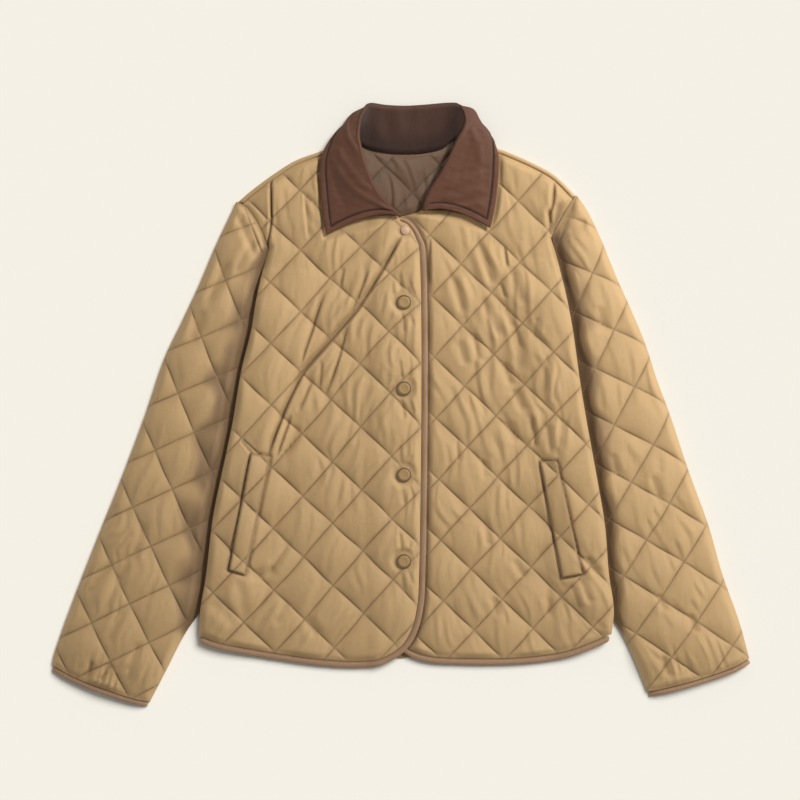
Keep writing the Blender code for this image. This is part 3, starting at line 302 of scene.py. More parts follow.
@dataclass(frozen=True)
class Quilt:
    """The diamond grid of stitch lines sewn through one piece.

    A stitch line runs wherever u or v is a whole number.
    """

    x: float
    y: float
    across: float
    along: float
    lean: float = 0.0
    bend: float = 0.0
    seed: int = 1
    wobble: float = 0.6
    drifts: tuple[Drift, ...] = ()

    @property
    def spacing(self) -> float:
        """The distance between two neighbouring stitch lines, in mm."""
        return 2 * self.across * self.along / math.hypot(self.across, self.along)

    def uv(self, points: Array) -> tuple[Array, Array]:
        """Gives the quilt coordinates of flat points.

        Args:
            points: Flat points, one a row.

        Returns:
            One u and one v for each point.
        """
        for drift in self.drifts:
            points = points - drift.move(points)
        wander = [ripple_noise(points, 65.0, self.seed + k) for k in (70, 80)]
        points = points - self.wobble * np.stack(wander, axis=1)
        down = self.y - points[:, 1]
        slope = self.lean + self.bend * down
        cosine = 1 / np.sqrt(1 + slope ** 2)
        off_axis = points[:, 0] - self.x - self.lean * down - self.bend * down ** 2 / 2
        along = down / np.cos(np.arctan(self.lean + self.bend * down / 2))
        along = (along + off_axis * slope * cosine) / self.along
        across = off_axis * cosine / self.across
        return (across + along) / 2, (across - along) / 2

    def place(self, u: Array, v: Array) -> Array:
        """Finds the flat points that have given quilt coordinates.

        Args:
            u: One u for each point.
            v: One v for each point.

        Returns:
            The points, found step by step.
        """
        down = (u - v) * self.along
        at = np.stack([self.x + self.lean * down + (u + v) * self.across, self.y - down], axis=1)
        for _ in range(8):
            u0, v0 = self.uv(at)
            ux, vx = self.uv(at + (0.5, 0))
            uy, vy = self.uv(at + (0, 0.5))
            a, b, c, d = (ux - u0) * 2, (uy - u0) * 2, (vx - v0) * 2, (vy - v0) * 2
            det = a * d - b * c
            eu, ev = u - u0, v - v0
            at = at + np.stack([(d * eu - b * ev) / det, (a * ev - c * eu) / det], axis=1)
        return at

    def span(self, loop: Array) -> tuple[int, int, int, int]:
        """Gives the lowest and highest whole u and v round an outline."""
        u, v = self.uv(loop)
        return (math.floor(u.min()), math.ceil(u.max()), math.floor(v.min()), math.ceil(v.max()))

    def net(self, loop: Array, steps: int, margin: float) -> Array:
        """Fills an outline with points that follow the stitch lines.

        Args:
            loop: The closed outline.
            steps: How many points lie along one side of a diamond.
            margin: How far the points stay from the outline, in mm.

        Returns:
            Flat points, closer together beside the stitch lines.
        """
        u0, u1, v0, v1 = self.span(loop)
        part = np.arange(steps) / steps
        part = part - 0.42 * np.sin(2 * math.pi * part) / (2 * math.pi)
        us = (np.arange(u0, u1)[:, None] + part[None]).ravel()
        vs = (np.arange(v0, v1)[:, None] + part[None]).ravel()
        u, v = (k.ravel() for k in np.meshgrid(us, vs))
        at = self.place(u, v)
        at = at[inside(at, loop)]
        return at[distance_to(at, loop, closed=True) > margin]

    def fullness(self, points: Array, power: float = 0.5) -> Array:
        """How full the wadding is: 0 on a stitch line, 1 mid diamond.

        Args:
            points: Flat points, one a row.
            power: Below 1 for diamonds that fill quickly beside a line.

        Returns:
            One share for each point.
        """
        u, v = self.uv(points)
        full = (np.abs(np.sin(math.pi * u)) * np.abs(np.sin(math.pi * v))) ** power
        cell = np.floor(u) * 12.9898 + np.floor(v) * 78.233 + self.seed * 3.7
        vary = np.modf(np.abs(np.sin(cell) * 43758.5453))[0]
        return full * (0.86 + 0.28 * vary)

    def freedom(self, points: Array, pinned: float = 0.2, crossed: float = 0.5) -> Array:
        """How freely cloth folds: less where stitch lines hold it down.

        Args:
            points: Flat points, one a row.
            pinned: What is left on the falling lines.
            crossed: What is left on the rising lines.

        Returns:
            One share for each point.
        """
        u, v = self.uv(points)
        free_u = crossed + (1 - crossed) * np.abs(np.sin(math.pi * u)) ** 0.6
        free_v = pinned + (1 - pinned) * np.abs(np.sin(math.pi * v)) ** 0.6
        return free_u * free_v

    def line_distance(self, points: Array) -> Array:
        """How far points are from the nearest stitch line, in mm."""
        u, v = self.uv(points)
        near = np.minimum(np.abs(u - np.round(u)), np.abs(v - np.round(v)))
        return near * self.spacing

    def seams(self, loop: Array, margin: float) -> list[Array]:
        """Follows each stitch line through an outline.

        Args:
            loop: The closed outline.
            margin: How far from it the sewing stops, in mm.

        Returns:
            One line of close points for each unbroken run of stitches.
        """
        u0, u1, v0, v1 = self.span(loop)
        runs = []
        for fixed, (a, b), (c, d) in ((0, (u0, u1), (v0, v1)), (1, (v0, v1), (u0, u1))):
            free = np.arange(c, d, 0.02)
            for whole in range(a, b + 1):
                held = np.full(len(free), float(whole))
                at = self.place(held, free) if fixed == 0 else self.place(free, held)
                keep = inside(at, loop) & (distance_to(at, loop, closed=True) > margin)
                breaks = np.flatnonzero(np.diff(keep.astype(int))) + 1
                for part in np.split(np.arange(len(at)), breaks):
                    if keep[part[0]] and len(part) > 4:
                        runs.append(at[part])
        return runs


@dataclass(frozen=True)
class Crease:
    """One trough with raised lips, laid between two given places.

    A painted shade darkens its bottom. Sharp narrows its left side, or its right side
    below 0, into a steep step. Bow moves its middle to the left.
    """

    x1: float
    y1: float
    x2: float
    y2: float
    width: float
    depth: float
    bottom_shade: float = 0.0
    sharp: float = 0.0
    bow: float = 0.0
    lip: float = 0.36
    lip_place: float = 1.8
    run_out: float = 1.2
    end_start: float = 0.35
    end_slope: float = 3.4
    net_step: float = 1.2

    def frame(self) -> tuple[Array, Array, Array]:
        """Its start, its run to the end, and the unit way to its left.

        Returns:
            Three flat vectors.
        """
        a = np.array([self.x1, self.y1])
        d = np.array([self.x2, self.y2]) - a
        return a, d, np.array([-d[1], d[0]]) / float(np.hypot(*d))

    def spread(self, points: Array) -> tuple[Array, Array]:
        """How much of it reaches flat points, and how far across they are.

        Args:
            points: Flat points, one a row.

        Returns:
            One share and one distance in mm for each point.
        """
        a, d, side = self.frame()
        length = float(np.hypot(*d))
        t = ((points - a) @ d) / length ** 2
        inner = np.clip(t, 0, 1)
        off = (points - a) @ side - self.bow * 4 * inner * (1 - inner)
        past = (t - inner) * length
        ends = smooth(np.minimum(t, 1 - t) * self.end_slope + self.end_start)
        fade = bell(past, self.run_out * self.width) * ends
        return fade, off

    def height(self, points: Array) -> Array:
        """How far this crease moves a surface up at flat points.

        Args:
            points: Flat points, one a row.

        Returns:
            One height in mm for each point.
        """
        fade, off = self.spread(points)
        steep = off * self.sharp > 0
        across = off / np.where(steep, self.width * (1 - abs(self.sharp)), self.width)
        lips = np.exp(-(across - self.lip_place) ** 2) + np.exp(-(across + self.lip_place) ** 2)
        return -self.depth * fade * (np.exp(-across ** 2) - self.lip * lips)

    def shade(self, points: Array) -> Array:
        """The painted shade in its bottom at flat points.

        Args:
            points: Flat points, one a row.

        Returns:
            One share for each point.
        """
        fade, off = self.spread(points)
        reach = 0.9 + 0.1 * self.width if self.sharp else 0.5 * self.width
        return self.bottom_shade * fade * bell(off, reach)

    def guide(self) -> Array:
        """Close points along it and beside it, for a net to pass through.

        Returns:
            Flat points, one a row.
        """
        a, d, side = self.frame()
        t = np.arange(0, 1, self.net_step / float(np.hypot(*d)))[:, None]
        centre = a + d * t + side * self.bow * 4 * t * (1 - t)
        shares = (-0.8, -0.35, 0.0, 0.35, 0.8)
        if self.sharp:
            shares = tuple(math.copysign(1, self.sharp) * k for k in (-0.8, -0.3, 0.0, 0.16, 0.34))
        return np.vstack([centre + side * self.width * share for share in shares])


@dataclass(frozen=True)
class Ripples:
    """A patch of shallow folds side by side, where cloth is fuller than its lining.

    The folds stand upright at a lean of 0 and lean to the left above it.
    """

    x: float
    y: float
    reach_x: float
    reach_y: float
    lean: float
    pitch: float
    height: float
    seed: int
    cover: float = 0.5

    def rise(self, points: Array) -> Array:
        """How far these folds move a surface up at flat points.

        Args:
            points: Flat points, one a row.

        Returns:
            One height in mm for each point.
        """
        turn = math.radians(self.lean)
        across = points[:, 0] * math.cos(turn) + points[:, 1] * math.sin(turn)
        along = points[:, 1] * math.cos(turn) - points[:, 0] * math.sin(turn)
        phase = across / self.pitch + 0.55 * ripple_noise(points, 5.0 * self.pitch, self.seed)
        wave = 2 * math.pi * phase
        fold = np.sin(wave + 0.5 * np.sin(wave))
        strips = np.stack([across, along / 2.4], axis=1)
        patch = smooth(self.cover + 0.8 * ripple_noise(strips, 1.7 * self.pitch, self.seed + 1))
        away = (points - (self.x, self.y)) / (self.reach_x, self.reach_y)
        return self.height * fold * patch * np.exp(-np.sum(away ** 2, axis=1) ** 1.5)


@dataclass(frozen=True)
class Wrinkles:
    """All the folds of one piece: listed creases and rippled patches."""

    creases: tuple[Crease, ...] = ()
    ripples: tuple[Ripples, ...] = ()

    def rise(self, points: Array, freedom: Array) -> Array:
        """How far they move a surface up at flat points.

        Args:
            points: Flat points, one a row.
            freedom: How freely the cloth folds there, from 0 to 1.

        Returns:
            One height for each point.
        """
        total = np.zeros(len(points))
        for ripple in self.ripples:
            total += ripple.rise(points) * freedom
        for crease in self.creases:
            total += crease.height(points)
        return total

    def shade(self, points: Array) -> Array:
        """The painted shade in the creases' bottoms at flat points.

        Args:
            points: Flat points, one a row.

        Returns:
            One share for each point.
        """
        total = np.zeros(len(points))
        for crease in self.creases:
            total = np.maximum(total, crease.shade(points))
        return total

    def guides(self) -> list[Array]:
        """Points that a net passes through to hold the sharp creases."""
        return [crease.guide() for crease in self.creases if crease.bottom_shade > 0]


def drawn_once(outline: str) -> cached_property:
    """A line of a half of the jacket: one of its outlines, drawn smoothly."""
    return cached_property(lambda half: spline(getattr(half, outline), half.rough))


@dataclass(frozen=True)
class Half:
    """The outlines of one half of the jacket as it is laid out, in mm."""

    inward: int
    shoulder: Outline
    armhole: Outline
    side: Outline
    hem: Outline
    front_edge: Outline
    neck: Outline
    sleeve_outer: Outline
    sleeve_shown: Outline
    cuff: Outline
    gap: Outline
    rough: float = 6.0

    edge_line = drawn_once("side")
    armhole_line = drawn_once("armhole")
    shoulder_line = drawn_once("shoulder")
    neck_line = drawn_once("neck")
    outer_line = drawn_once("sleeve_outer")
    shown_line = drawn_once("sleeve_shown")
    cuff_line = drawn_once("cuff")

    @cached_property
    def front_line(self) -> Array:
        """The hem and front edge, as one smooth run."""
        return self.hem_and_front(self.rough)

    def hem_and_front(self, step: float) -> Array:
        """The hem and front edge with points a step apart."""
        return spline([*self.hem, *self.front_edge[1:]], step)

    def gap_reach(self, points: Array) -> Array:
        """How far the painted shade of the gap beside the body reaches over the sleeve."""
        table = np.array(self.gap)[::-1]
        return np.interp(points[:, 1], table[:, 0], table[:, 1])


RIGHT = Half(
    inward=1,
    shoulder=((-63.6, 321.6), (-92.4, 306), (-127.2, 292.8), (-157.2, 273.6), (-181.2, 255.6),
              (-195.6, 243)),
    armhole=((-195.6, 243), (-186, 238), (-175.2, 224.4), (-164.4, 204), (-158.4, 188.4)),
    side=((-158.4, 188.4), (-166.8, 157.2), (-172.8, 127.2), (-178.8, 90), (-190.8, 40.8), (-200.4, -16.8),
          (-208.8, -57.6), (-224.4, -133.2), (-232.8, -202.8), (-240, -246), (-242.4, -283.2)),
    hem=((-242.4, -283.2), (-224.4, -290.4), (-186, -298.8), (-142.8, -306), (-98.4, -312),
         (-55.2, -314.4), (-26.4, -312), (-8, -304), (8, -291), (20, -270), (26.5, -243), (28.8, -214.8)),
    front_edge=((28.8, -214.8), (28.8, 190.8), (25.5, 200.4), (20.4, 211.2), (12, 222), (2.4, 226.8)),
    neck=((2.4, 226.8), (-6, 228), (-25.2, 237.6), (-42, 254.4), (-55.2, 278.4), (-61.2, 303.6),
          (-63.6, 321.6)),
    sleeve_outer=((-197.2, 243.4), (-222, 190.8), (-242.4, 142.8), (-261.6, 102), (-283.2, 56.4),
                  (-304.8, -7.2), (-331.2, -78), (-360, -150), (-386.4, -217.2), (-406.8, -272.4),
                  (-416.4, -302), (-419, -317.6)),
    sleeve_shown=((-241.2, -248.4), (-259.2, -274.8), (-282, -319.2), (-304, -361.6)),
    cuff=((-304, -361.6), (-323, -357.4), (-347, -349.6), (-378, -338.4), (-404, -326.4), (-419, -317.6)),
    gap=((250, 1.1), (190, 2.4), (170, 7), (110, 11.5), (20, 15), (-100, 16), (-200, 14), (-250, 10)),
)
LEFT = Half(
    inward=-1,
    shoulder=((70.8, 321.6), (93.6, 313.5), (116.4, 307.2), (135.6, 300), (162, 288), (184.8, 274.8),
              (209, 251)),
    armhole=((209, 251), (202.8, 242.4), (193.2, 225.6), (186, 212.4), (180, 200)),
    side=((180, 200), (186, 180), (193.2, 150), (200.4, 116.4), (206.4, 82.8), (213.6, 30), (223.2, -27.6),
          (234, -86.4), (243.6, -144), (248.4, -202.8), (254.4, -246), (250.8, -282)),
    hem=((250.8, -282), (231.6, -290.4), (202.8, -301.2), (172.8, -307.2), (129.6, -310.8), (72, -310.8),
         (33.6, -308.4), (13.2, -302.4), (-4, -291), (-16, -270), (-20.4, -240)),
    front_edge=((-20.4, -240), (-20.4, 198), (-15.6, 219.6)),
    neck=((-15.6, 219.6), (-1.2, 224.4), (16.8, 229.2), (32.4, 238.8), (48, 254.4), (61.2, 278.4),
          (68.4, 303.6), (70.8, 321.6)),
    sleeve_outer=((210.6, 251.2), (223.2, 232.8), (240, 198), (258, 153.6), (274.8, 116.4), (292.8, 73.2),
                  (307.2, 28.8), (321.6, -9.6), (344.4, -78), (368.4, -144), (385.2, -202.8),
                  (405.6, -260.4), (419, -309.6)),
    sleeve_shown=((255.6, -258), (268.8, -280.8), (283.2, -313.2), (298, -349.6)),
    cuff=((298, -349.6), (333.6, -341.4), (376.8, -328.4), (402, -319), (419, -309.6)),
    gap=((262, 1.1), (240, 5), (209, 11), (100, 12), (40, 12), (-60, 10), (-150, 8), (-230, 6)),
)
HEM_BACK: Outline = tuple(RIGHT.hem[:6]) + tuple(LEFT.hem[5::-1])
NECK_BACK: Outline = ((70.8, 321.6), (61, 314.2), (47.5, 305.8), (25.2, 301), (3.6, 299.9),
                      (-18, 301), (-40, 305.6), (-53, 313.2), (-63.6, 321.6))


# --- how the layers lie
@dataclass(frozen=True)
class Lay:
    """How the jacket's layers lie on each other, from the ground up, in mm."""

    seam_gap: float = 0.3
    back_wall: float = 4.0
    front_wall: float = 2.6
    thinnest: float = 1.2
    lap_edge: float = -20.4
    lap_ramp: float = 24.0
    tuck: float = 24.0
    lift_height: float = 8.0
    lift_level: float = 3.0
    lift_fade: float = 50.0
    lift_slack: float = 0.6
    lift_start: float = 20.0
    lift_run: float = 56.0
    hem_fade: tuple[float, float] = (-283.0, -223.0)
    hem_lift: float = 0.35
    lip: float = 6.0
    lip_rise: float = 3.2
    binding: float = 7.2
    back_hem: float = 17.4

    @property
    def lap_rise(self) -> float:
        """How much higher the right front lies where it laps the left."""
        return self.front_wall + self.seam_gap

    def side_lift(self, points: Array, half: Half) -> Array:
        """How far the tucked sleeve of one half lifts the body.

        Args:
            points: Flat points, one a row.
            half: The half that the sleeve is on.

        Returns:
            One height in mm for each point.
        """
        depth = distance_to(points, half.edge_line)
        near = 1 - smooth((depth - self.tuck - self.lift_level) / self.lift_fade)
        above = smooth((half.side[0][1] - self.lift_start - points[:, 1]) / self.lift_run)
        low, high = self.hem_fade
        below = self.hem_lift + (1 - self.hem_lift) * smooth((points[:, 1] - low) / (high - low))
        return self.lift_height * near * above * below

    def lift(self, points: Array) -> Array:
        """The height of the body's underside."""
        return np.where(points[:, 0] < 0, self.side_lift(points, RIGHT), self.side_lift(points, LEFT))

    def under_front(self, points: Array, over: bool) -> Array:
        """The inside of a front, just above the back and the other front.

        Args:
            points: Flat points, one a row.
            over: Whether this front laps over the other.

        Returns:
            One height for each point.
        """
        rise = self.lift(points)
        base = rise + self.back_wall + self.seam_gap + self.lift_slack * smooth(rise / self.lift_slack)
        if not over:
            return base
        return base + self.lap_rise * smooth((points[:, 0] - self.lap_edge + self.lap_ramp)
                                             / (self.lap_ramp - 4.0))

    def tucked_edge(self, half: Half) -> Array:
        """The sleeve's hidden edge, under the side of the body.

        Args:
            half: The half that the sleeve is on.

        Returns:
            Points along the edge.
        """
        line = half.edge_line[half.edge_line[:, 1] > half.sleeve_shown[0][1] + 36.0]
        along = smooth((half.side[0][1] - self.lift_start - self.lift_run * 0.57 - line[:, 1]) / 50.0)
        depth = -self.seam_gap + (self.tuck + self.seam_gap) * along
        return line + half.inward * depth[:, None] * left_normal(line)


LAY = Lay()


# --- meshes
@dataclass
class Net:
    """Triangles over one outline, the outline's points first."""

    points: Array
    faces: Array
    rim: int

    @cached_property
    def edges(self) -> Array:
        """Each edge of the triangles once, as pairs of point numbers."""
        sides = np.vstack([self.faces[:, [0, 1]], self.faces[:, [1, 2]], self.faces[:, [2, 0]]])
        return np.unique(np.sort(sides, axis=1), axis=0)


def net_over(loop: Array, extra: Array) -> Net:
    """Fills an outline with triangles through extra points.

    Args:
        loop: The closed outline, anticlockwise.
        extra: Flat points inside it.

    Returns:
        The triangles, all facing up.
    """
    points = [Vector(p) for p in np.vstack([loop, extra])]
    edges = [(i, (i + 1) % len(loop)) for i in range(len(loop))]
    verts, _, faces, _, _, _ = delaunay_2d_cdt(points, edges, [], 0, 1e-5)
    flat = np.array([tuple(v) for v in verts])
    tris = np.array([tuple(f) for f in faces if len(f) == 3])
    tris = tris[inside(flat[tris].mean(axis=1), loop)]
    a, b, c = (flat[tris[:, k]] for k in range(3))
    area = (b[:, 0] - a[:, 0]) * (c[:, 1] - a[:, 1]) - (b[:, 1] - a[:, 1]) * (c[:, 0] - a[:, 0])
    tris[area < 0] = tris[area < 0][:, ::-1]
    return Net(flat, tris, len(loop))


def spaced_from(points: Array, others: Array, gap: float) -> Array:
    """Keeps the points that lie further than a gap from all the others.

    Args:
        points: Flat points, one a row.
        others: The points to stay clear of.
        gap: The least distance, in mm.

    Returns:
        The points kept.
    """
    cell = gap
    taken: dict[tuple[int, int], list[int]] = {}
    for k, (i, j) in enumerate(np.floor(others / cell).astype(int)):
        taken.setdefault((i, j), []).append(k)
    keep = np.ones(len(points), bool)
    for k, (i, j) in enumerate(np.floor(points / cell).astype(int)):
        near = [m for a in (-1, 0, 1) for b in (-1, 0, 1) for m in taken.get((i + a, j + b), ())]
        if near and np.min(np.sum((others[near] - points[k]) ** 2, axis=1)) < gap * gap:
            keep[k] = False
    return points[keep]


def even_net(loop: Array, spacing: float, margin: float) -> Array:
    """Spreads an even net of points inside an outline.

    Args:
        loop: The closed outline.
        spacing: The distance between points, in mm.
        margin: How far they stay from the outline, in mm.

    Returns:
        Flat points, row after row.
    """
    low, high = loop.min(axis=0), loop.max(axis=0)
    rows = []
    for j, y in enumerate(np.arange(low[1], high[1], spacing * 0.87)):
        xs = np.arange(low[0] + (spacing / 2 if j % 2 else 0.0), high[0], spacing)
        rows.append(np.stack([xs, np.full(len(xs), y)], axis=1))
    points = np.vstack(rows)
    points = points[inside(points, loop)]
    return points[distance_to(points, loop, closed=True) > margin]


def edge_rings(loop: Array, depths: Sequence[float]) -> Array:
    """Lays rings of points beside an outline: inside it, or outside below 0.

    Args:
        loop: The closed outline.
        depths: How far in each ring lies, in mm.

    Returns:
        The points of all the rings.
    """
    normal = left_normal(loop, closed=True)
    rings = []
    for depth in depths:
        ring = loop + normal * depth
        ring = ring[inside(ring, loop) == (depth > 0)]
        rings.append(ring[distance_to(ring, loop, closed=True) > abs(depth) * 0.93])
    return np.vstack(rings)


def make_piece(name: str, verts: Array, faces: Sequence, finish: "Finish",
               shades: dict[str, Array] | None = None) -> bpy.types.Object:
    """Makes one named piece of the jacket from points in mm.

    Args:
        name: The piece's name.
        verts: Its points, in mm.
        faces: Its faces, as point numbers.
        finish: What it is made of.
        shades: Painted shade and highlight values for each point that the finish reads, by name.

    Returns:
        The new object, riding on the jacket.
    """
    mesh = bpy.data.meshes.new(name)
    mesh.from_pydata((np.asarray(verts, float) * MM).tolist(), [], [tuple(map(int, f)) for f in faces])
    mesh.validate()
    mesh.shade_smooth()
    for shade, values in (shades or {}).items():
        layer = mesh.attributes.new(shade, "FLOAT", "POINT")
        layer.data.foreach_set("value", np.asarray(values, np.float32))
    mesh.materials.append(finish.material())
    piece = bpy.data.objects.new(name, mesh)
    bpy.context.scene.collection.objects.link(piece)
    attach(piece, "root")
    LOG.info("%s: %d faces of %s", name, len(mesh.polygons), finish.name)
    return piece


def shell_of(top: Array, net: Net, under: Net, bottom: Array) -> tuple[Array, list]:
    """Closes a surface and an underside with the same rim into one wall.

    Args:
        top: The upper surface's points, in the net's order.
        net: Its triangles.
        under: The underside's triangles.
        bottom: The underside's points.

    Returns:
        The wall's points and faces.
    """
    first, n = len(top), net.rim
    faces = [tuple(f) for f in net.faces]
    faces += [tuple(f[::-1] + first) for f in under.faces]
    faces += [(i, i + first, (i + 1) % n + first, (i + 1) % n) for i in range(n)]
    return np.vstack([top, bottom]), faces


def ribbon_tube(rings: Array, closed: bool = False, capped: bool = True) -> tuple[Array, list]:
    """Joins rings of points into a tube.

    Args:
        rings: Rings of equally many points, one after the other.
        closed: Whether the last ring joins the first.
        capped: Whether open ends get a face.

    Returns:
        The tube's points and faces.
    """
    count, size = rings.shape[:2]
    faces: list = []
    for i in range(count if closed else count - 1):
        j = (i + 1) % count
        for k in range(size):
            m = (k + 1) % size
            faces.append((i * size + k, i * size + m, j * size + m, j * size + k))
    if capped and not closed:
        faces.append(tuple(range(size - 1, -1, -1)))
        faces.append(tuple((count - 1) * size + k for k in range(size)))
    return rings.reshape(-1, 3), faces


# --- finishes
class Slot(Enum):
    """The record's material slots, and none for what has no slot."""

    SHELL = "shell"
    COLLAR = "collar"
    LINING = "lining"
    BINDING = "binding"
    SNAP = "snap"
    STUD = "stud"
    NONE = ""


Colour = tuple[float, float, float]


class Graph:
    """Builds a material's nodes around its one surface shader."""

    def __init__(self, material: bpy.types.Material) -> None:
        """Starts from a material's own Principled shader.

        Args:
            material: The material to fill.
        """
        material.use_nodes = True
        self.tree = material.node_tree
        self.shader = self.tree.nodes["Principled BSDF"]
        self.place = self.tree.nodes.new("ShaderNodeTexCoord").outputs["Object"]

    def link(self, value: object, socket: bpy.types.NodeSocket) -> None:
        """Joins an output to a socket, or sets the socket to a plain value.

        Args:
            value: An output, a number or a colour.
            socket: The socket that takes it.
        """
        if isinstance(value, bpy.types.NodeSocket):
            self.tree.links.new(value, socket)
        else:
            socket.default_value = value

    def node(self, kind: str, settings: dict[str, object], **inputs: object) -> bpy.types.Node:
        """Adds a node.

        Args:
            kind: The node's type, without ShaderNode.
            settings: Its properties.
            inputs: Its sockets' values or outputs to join, by name.

        Returns:
            The new node.
        """
        made = self.tree.nodes.new("ShaderNode" + kind)
        for key, value in settings.items():
            setattr(made, key, value)
        for key, value in inputs.items():
            self.link(value, made.inputs[key.replace("_", " ")])
        return made

    def sum(self, operation: str, *values: object) -> bpy.types.NodeSocket:
        """Does one step of arithmetic on outputs or numbers.

        Args:
            operation: The step's name.
            values: What it works on, in order.

        Returns:
            The result's output.
        """
        made = self.node("Math", {"operation": operation})
        for socket, value in zip(made.inputs, values):
            self.link(value, socket)
        return made.outputs[0]

    def blend(self, share: object, low: object, high: object) -> bpy.types.NodeSocket:
        """Mixes two colours by a share.

        Args:
            share: From 0 for the first to 1 for the other.
            low: The first colour.
            high: The other colour.

        Returns:
            The mixed colour's output.
        """
        made = self.node("Mix", {"data_type": "RGBA"})
        for index, value in ((0, share), (6, low), (7, high)):
            plain = not isinstance(value, bpy.types.NodeSocket)
            self.link((*value, 1.0) if plain and index else value, made.inputs[index])
        return made.outputs[2]

    def attribute(self, name: str) -> bpy.types.NodeSocket:
        """Reads a value that the piece's points carry."""
        return self.node("Attribute", {"attribute_name": name}).outputs["Fac"]

    def scaled(self, x: float, y: float, z: float, turn: float = 0.0) -> bpy.types.NodeSocket:
        """The place on the piece, scaled and turned about Z.

        Args:
            x: The scale along X.
            y: The scale along Y.
            z: The scale along Z.
            turn: The turn, in degrees.

        Returns:
            The scaled place's output.
        """
        made = self.node("Mapping", {"vector_type": "POINT"}, Vector=self.place)
        made.inputs["Rotation"].default_value = (0.0, 0.0, math.radians(turn))
        made.inputs["Scale"].default_value = (x, y, z)
        return made.outputs[0]

    def noise(self, place: bpy.types.NodeSocket, detail: float, rough: float = 0.5) -> bpy.types.NodeSocket:
        """A cloudy pattern from 0 to 1."""
        return self.node("TexNoise", {}, Vector=place, Scale=1.0, Detail=detail, Roughness=rough).outputs[0]

    def thread_wave(self, pitch: float, turn: float) -> bpy.types.NodeSocket:
        """Even threads side by side: a wave from -1 to 1 across them.

        Args:
            pitch: The distance between threads, in metres.
            turn: The way that they run, in degrees.

        Returns:
            The wave's output.
        """
        turned = self.scaled(1 / pitch, 1 / pitch, 1 / pitch, turn)
        axis = self.node("SeparateXYZ", {}, Vector=turned).outputs["X"]
        return self.sum("SINE", self.sum("MULTIPLY", axis, 2 * math.pi))

    def bump(self, height: bpy.types.NodeSocket, depth: float,
             under: object = None) -> bpy.types.NodeSocket:
        """Turns a pattern into relief, over other relief if there is any.

        Args:
            height: The pattern's output.
            depth: How deep it is, in metres.
            under: The relief that it lies on.

        Returns:
            The bent normal's output.
        """
        made = self.node("Bump", {}, Strength=1.0, Distance=depth, Height=height)
        if under is not None:
            self.link(under, made.inputs["Normal"])
        return made.outputs[0]


@dataclass(frozen=True)
class Finish:
    """What a piece is made of: its colour, gloss and small relief."""

    name: str
    slot_kind: Slot
    colour: Colour
    roughness: float
    sheen: float = 0.0
    sheen_tint: Colour = (1.0, 1.0, 1.0)
    specular: float = 0.5
    metallic: float = 0.0
    coat: float = 0.0

    @property
    def slot(self) -> str:
        """The name of the record's slot."""
        return self.slot_kind.value

    def material(self) -> bpy.types.Material:
        """Gives the material, made the first time that it is asked for.

        Returns:
            The one material of this finish.
        """
        found = bpy.data.materials.get(self.name)
        if found:
            return found
        made = bpy.data.materials.new(self.name)
        graph = Graph(made)
        sockets = graph.shader.inputs
        sockets["Base Color"].default_value = (*self.colour, 1.0)
        sockets["Roughness"].default_value = self.roughness
        sockets["Metallic"].default_value = self.metallic
        sockets["Specular IOR Level"].default_value = self.specular
        sockets["Sheen Weight"].default_value = self.sheen
        sockets["Sheen Roughness"].default_value = 0.45
        sockets["Sheen Tint"].default_value = (*self.sheen_tint, 1.0)
        sockets["Coat Weight"].default_value = self.coat
        self.dress(graph)
        return made

    def dress(self, graph: Graph) -> None:
        """Adds the small detail. A plain finish has none."""

    def tint(self, share: float) -> Colour:
        """The colour, lighter above 1 and darker below."""
        return tuple(min(1.0, c * share) for c in self.colour)


@dataclass(frozen=True)
class Cloth(Finish):
    """Woven cloth, a little uneven in colour, with painted shade in its seams and gaps."""

    thread: float = 0.00055
    relief: float = 0.00005
    crinkle: float = 0.0004
    crinkle_size: float = 0.006
    diagonal: bool = False
    # The colour that the painted shade darkens the cloth towards.
    deep: Colour = (0.085, 0.040, 0.019)
    # How much lighter the painted highlight on a raised rim makes the cloth.
    rim_highlight_tint: float = 1.3
    patchy: float = 0.06

    def dress(self, graph: Graph) -> None:
        """Adds weave, faint crinkles, uneven dye, a painted highlight on raised rims and painted shade.

        Args:
            graph: The graph to add them to.
        """
        cloud = graph.noise(graph.scaled(16, 16, 16), 3.0, 0.6)
        fleck = graph.noise(graph.scaled(900, 900, 900), 2.0, 0.6)
        tone = graph.sum("ADD", graph.sum("MULTIPLY", cloud, 0.75), graph.sum("MULTIPLY", fleck, 0.25))
        plain = graph.blend(tone, self.tint(1 - self.patchy), self.tint(1 + self.patchy))
        # Painted highlight: points on a raised rim turn lighter.
        painted_rim_highlight = graph.blend(graph.attribute("painted_rim_highlight"), plain, self.tint(self.rim_highlight_tint))
        # Painted shade: the cloth darkens towards its deep colour where its points carry shade in seams,
        # creases and gaps.
        graph.link(graph.blend(graph.attribute("valley"), painted_rim_highlight, self.deep),
                   graph.shader.inputs["Base Color"])
        rough = graph.sum("MULTIPLY_ADD", cloud, 0.12, self.roughness - 0.06)
        graph.link(rough, graph.shader.inputs["Roughness"])
        size = 1 / self.crinkle_size
        soft = graph.noise(graph.scaled(size, size, size), 4.0, 0.55)
        drawn = graph.noise(graph.scaled(size * 1.5, size * 0.35, size, 12.0), 3.0, 0.5)
        folds = graph.bump(graph.sum("ADD", soft, drawn), self.crinkle)
        if self.diagonal:
            weave = graph.thread_wave(self.thread, 45.0)
        else:
            weave = graph.sum("MULTIPLY", graph.thread_wave(self.thread, 0.0),
                              graph.thread_wave(self.thread, 90.0))
        graph.link(graph.bump(weave, self.relief, folds), graph.shader.inputs["Normal"])


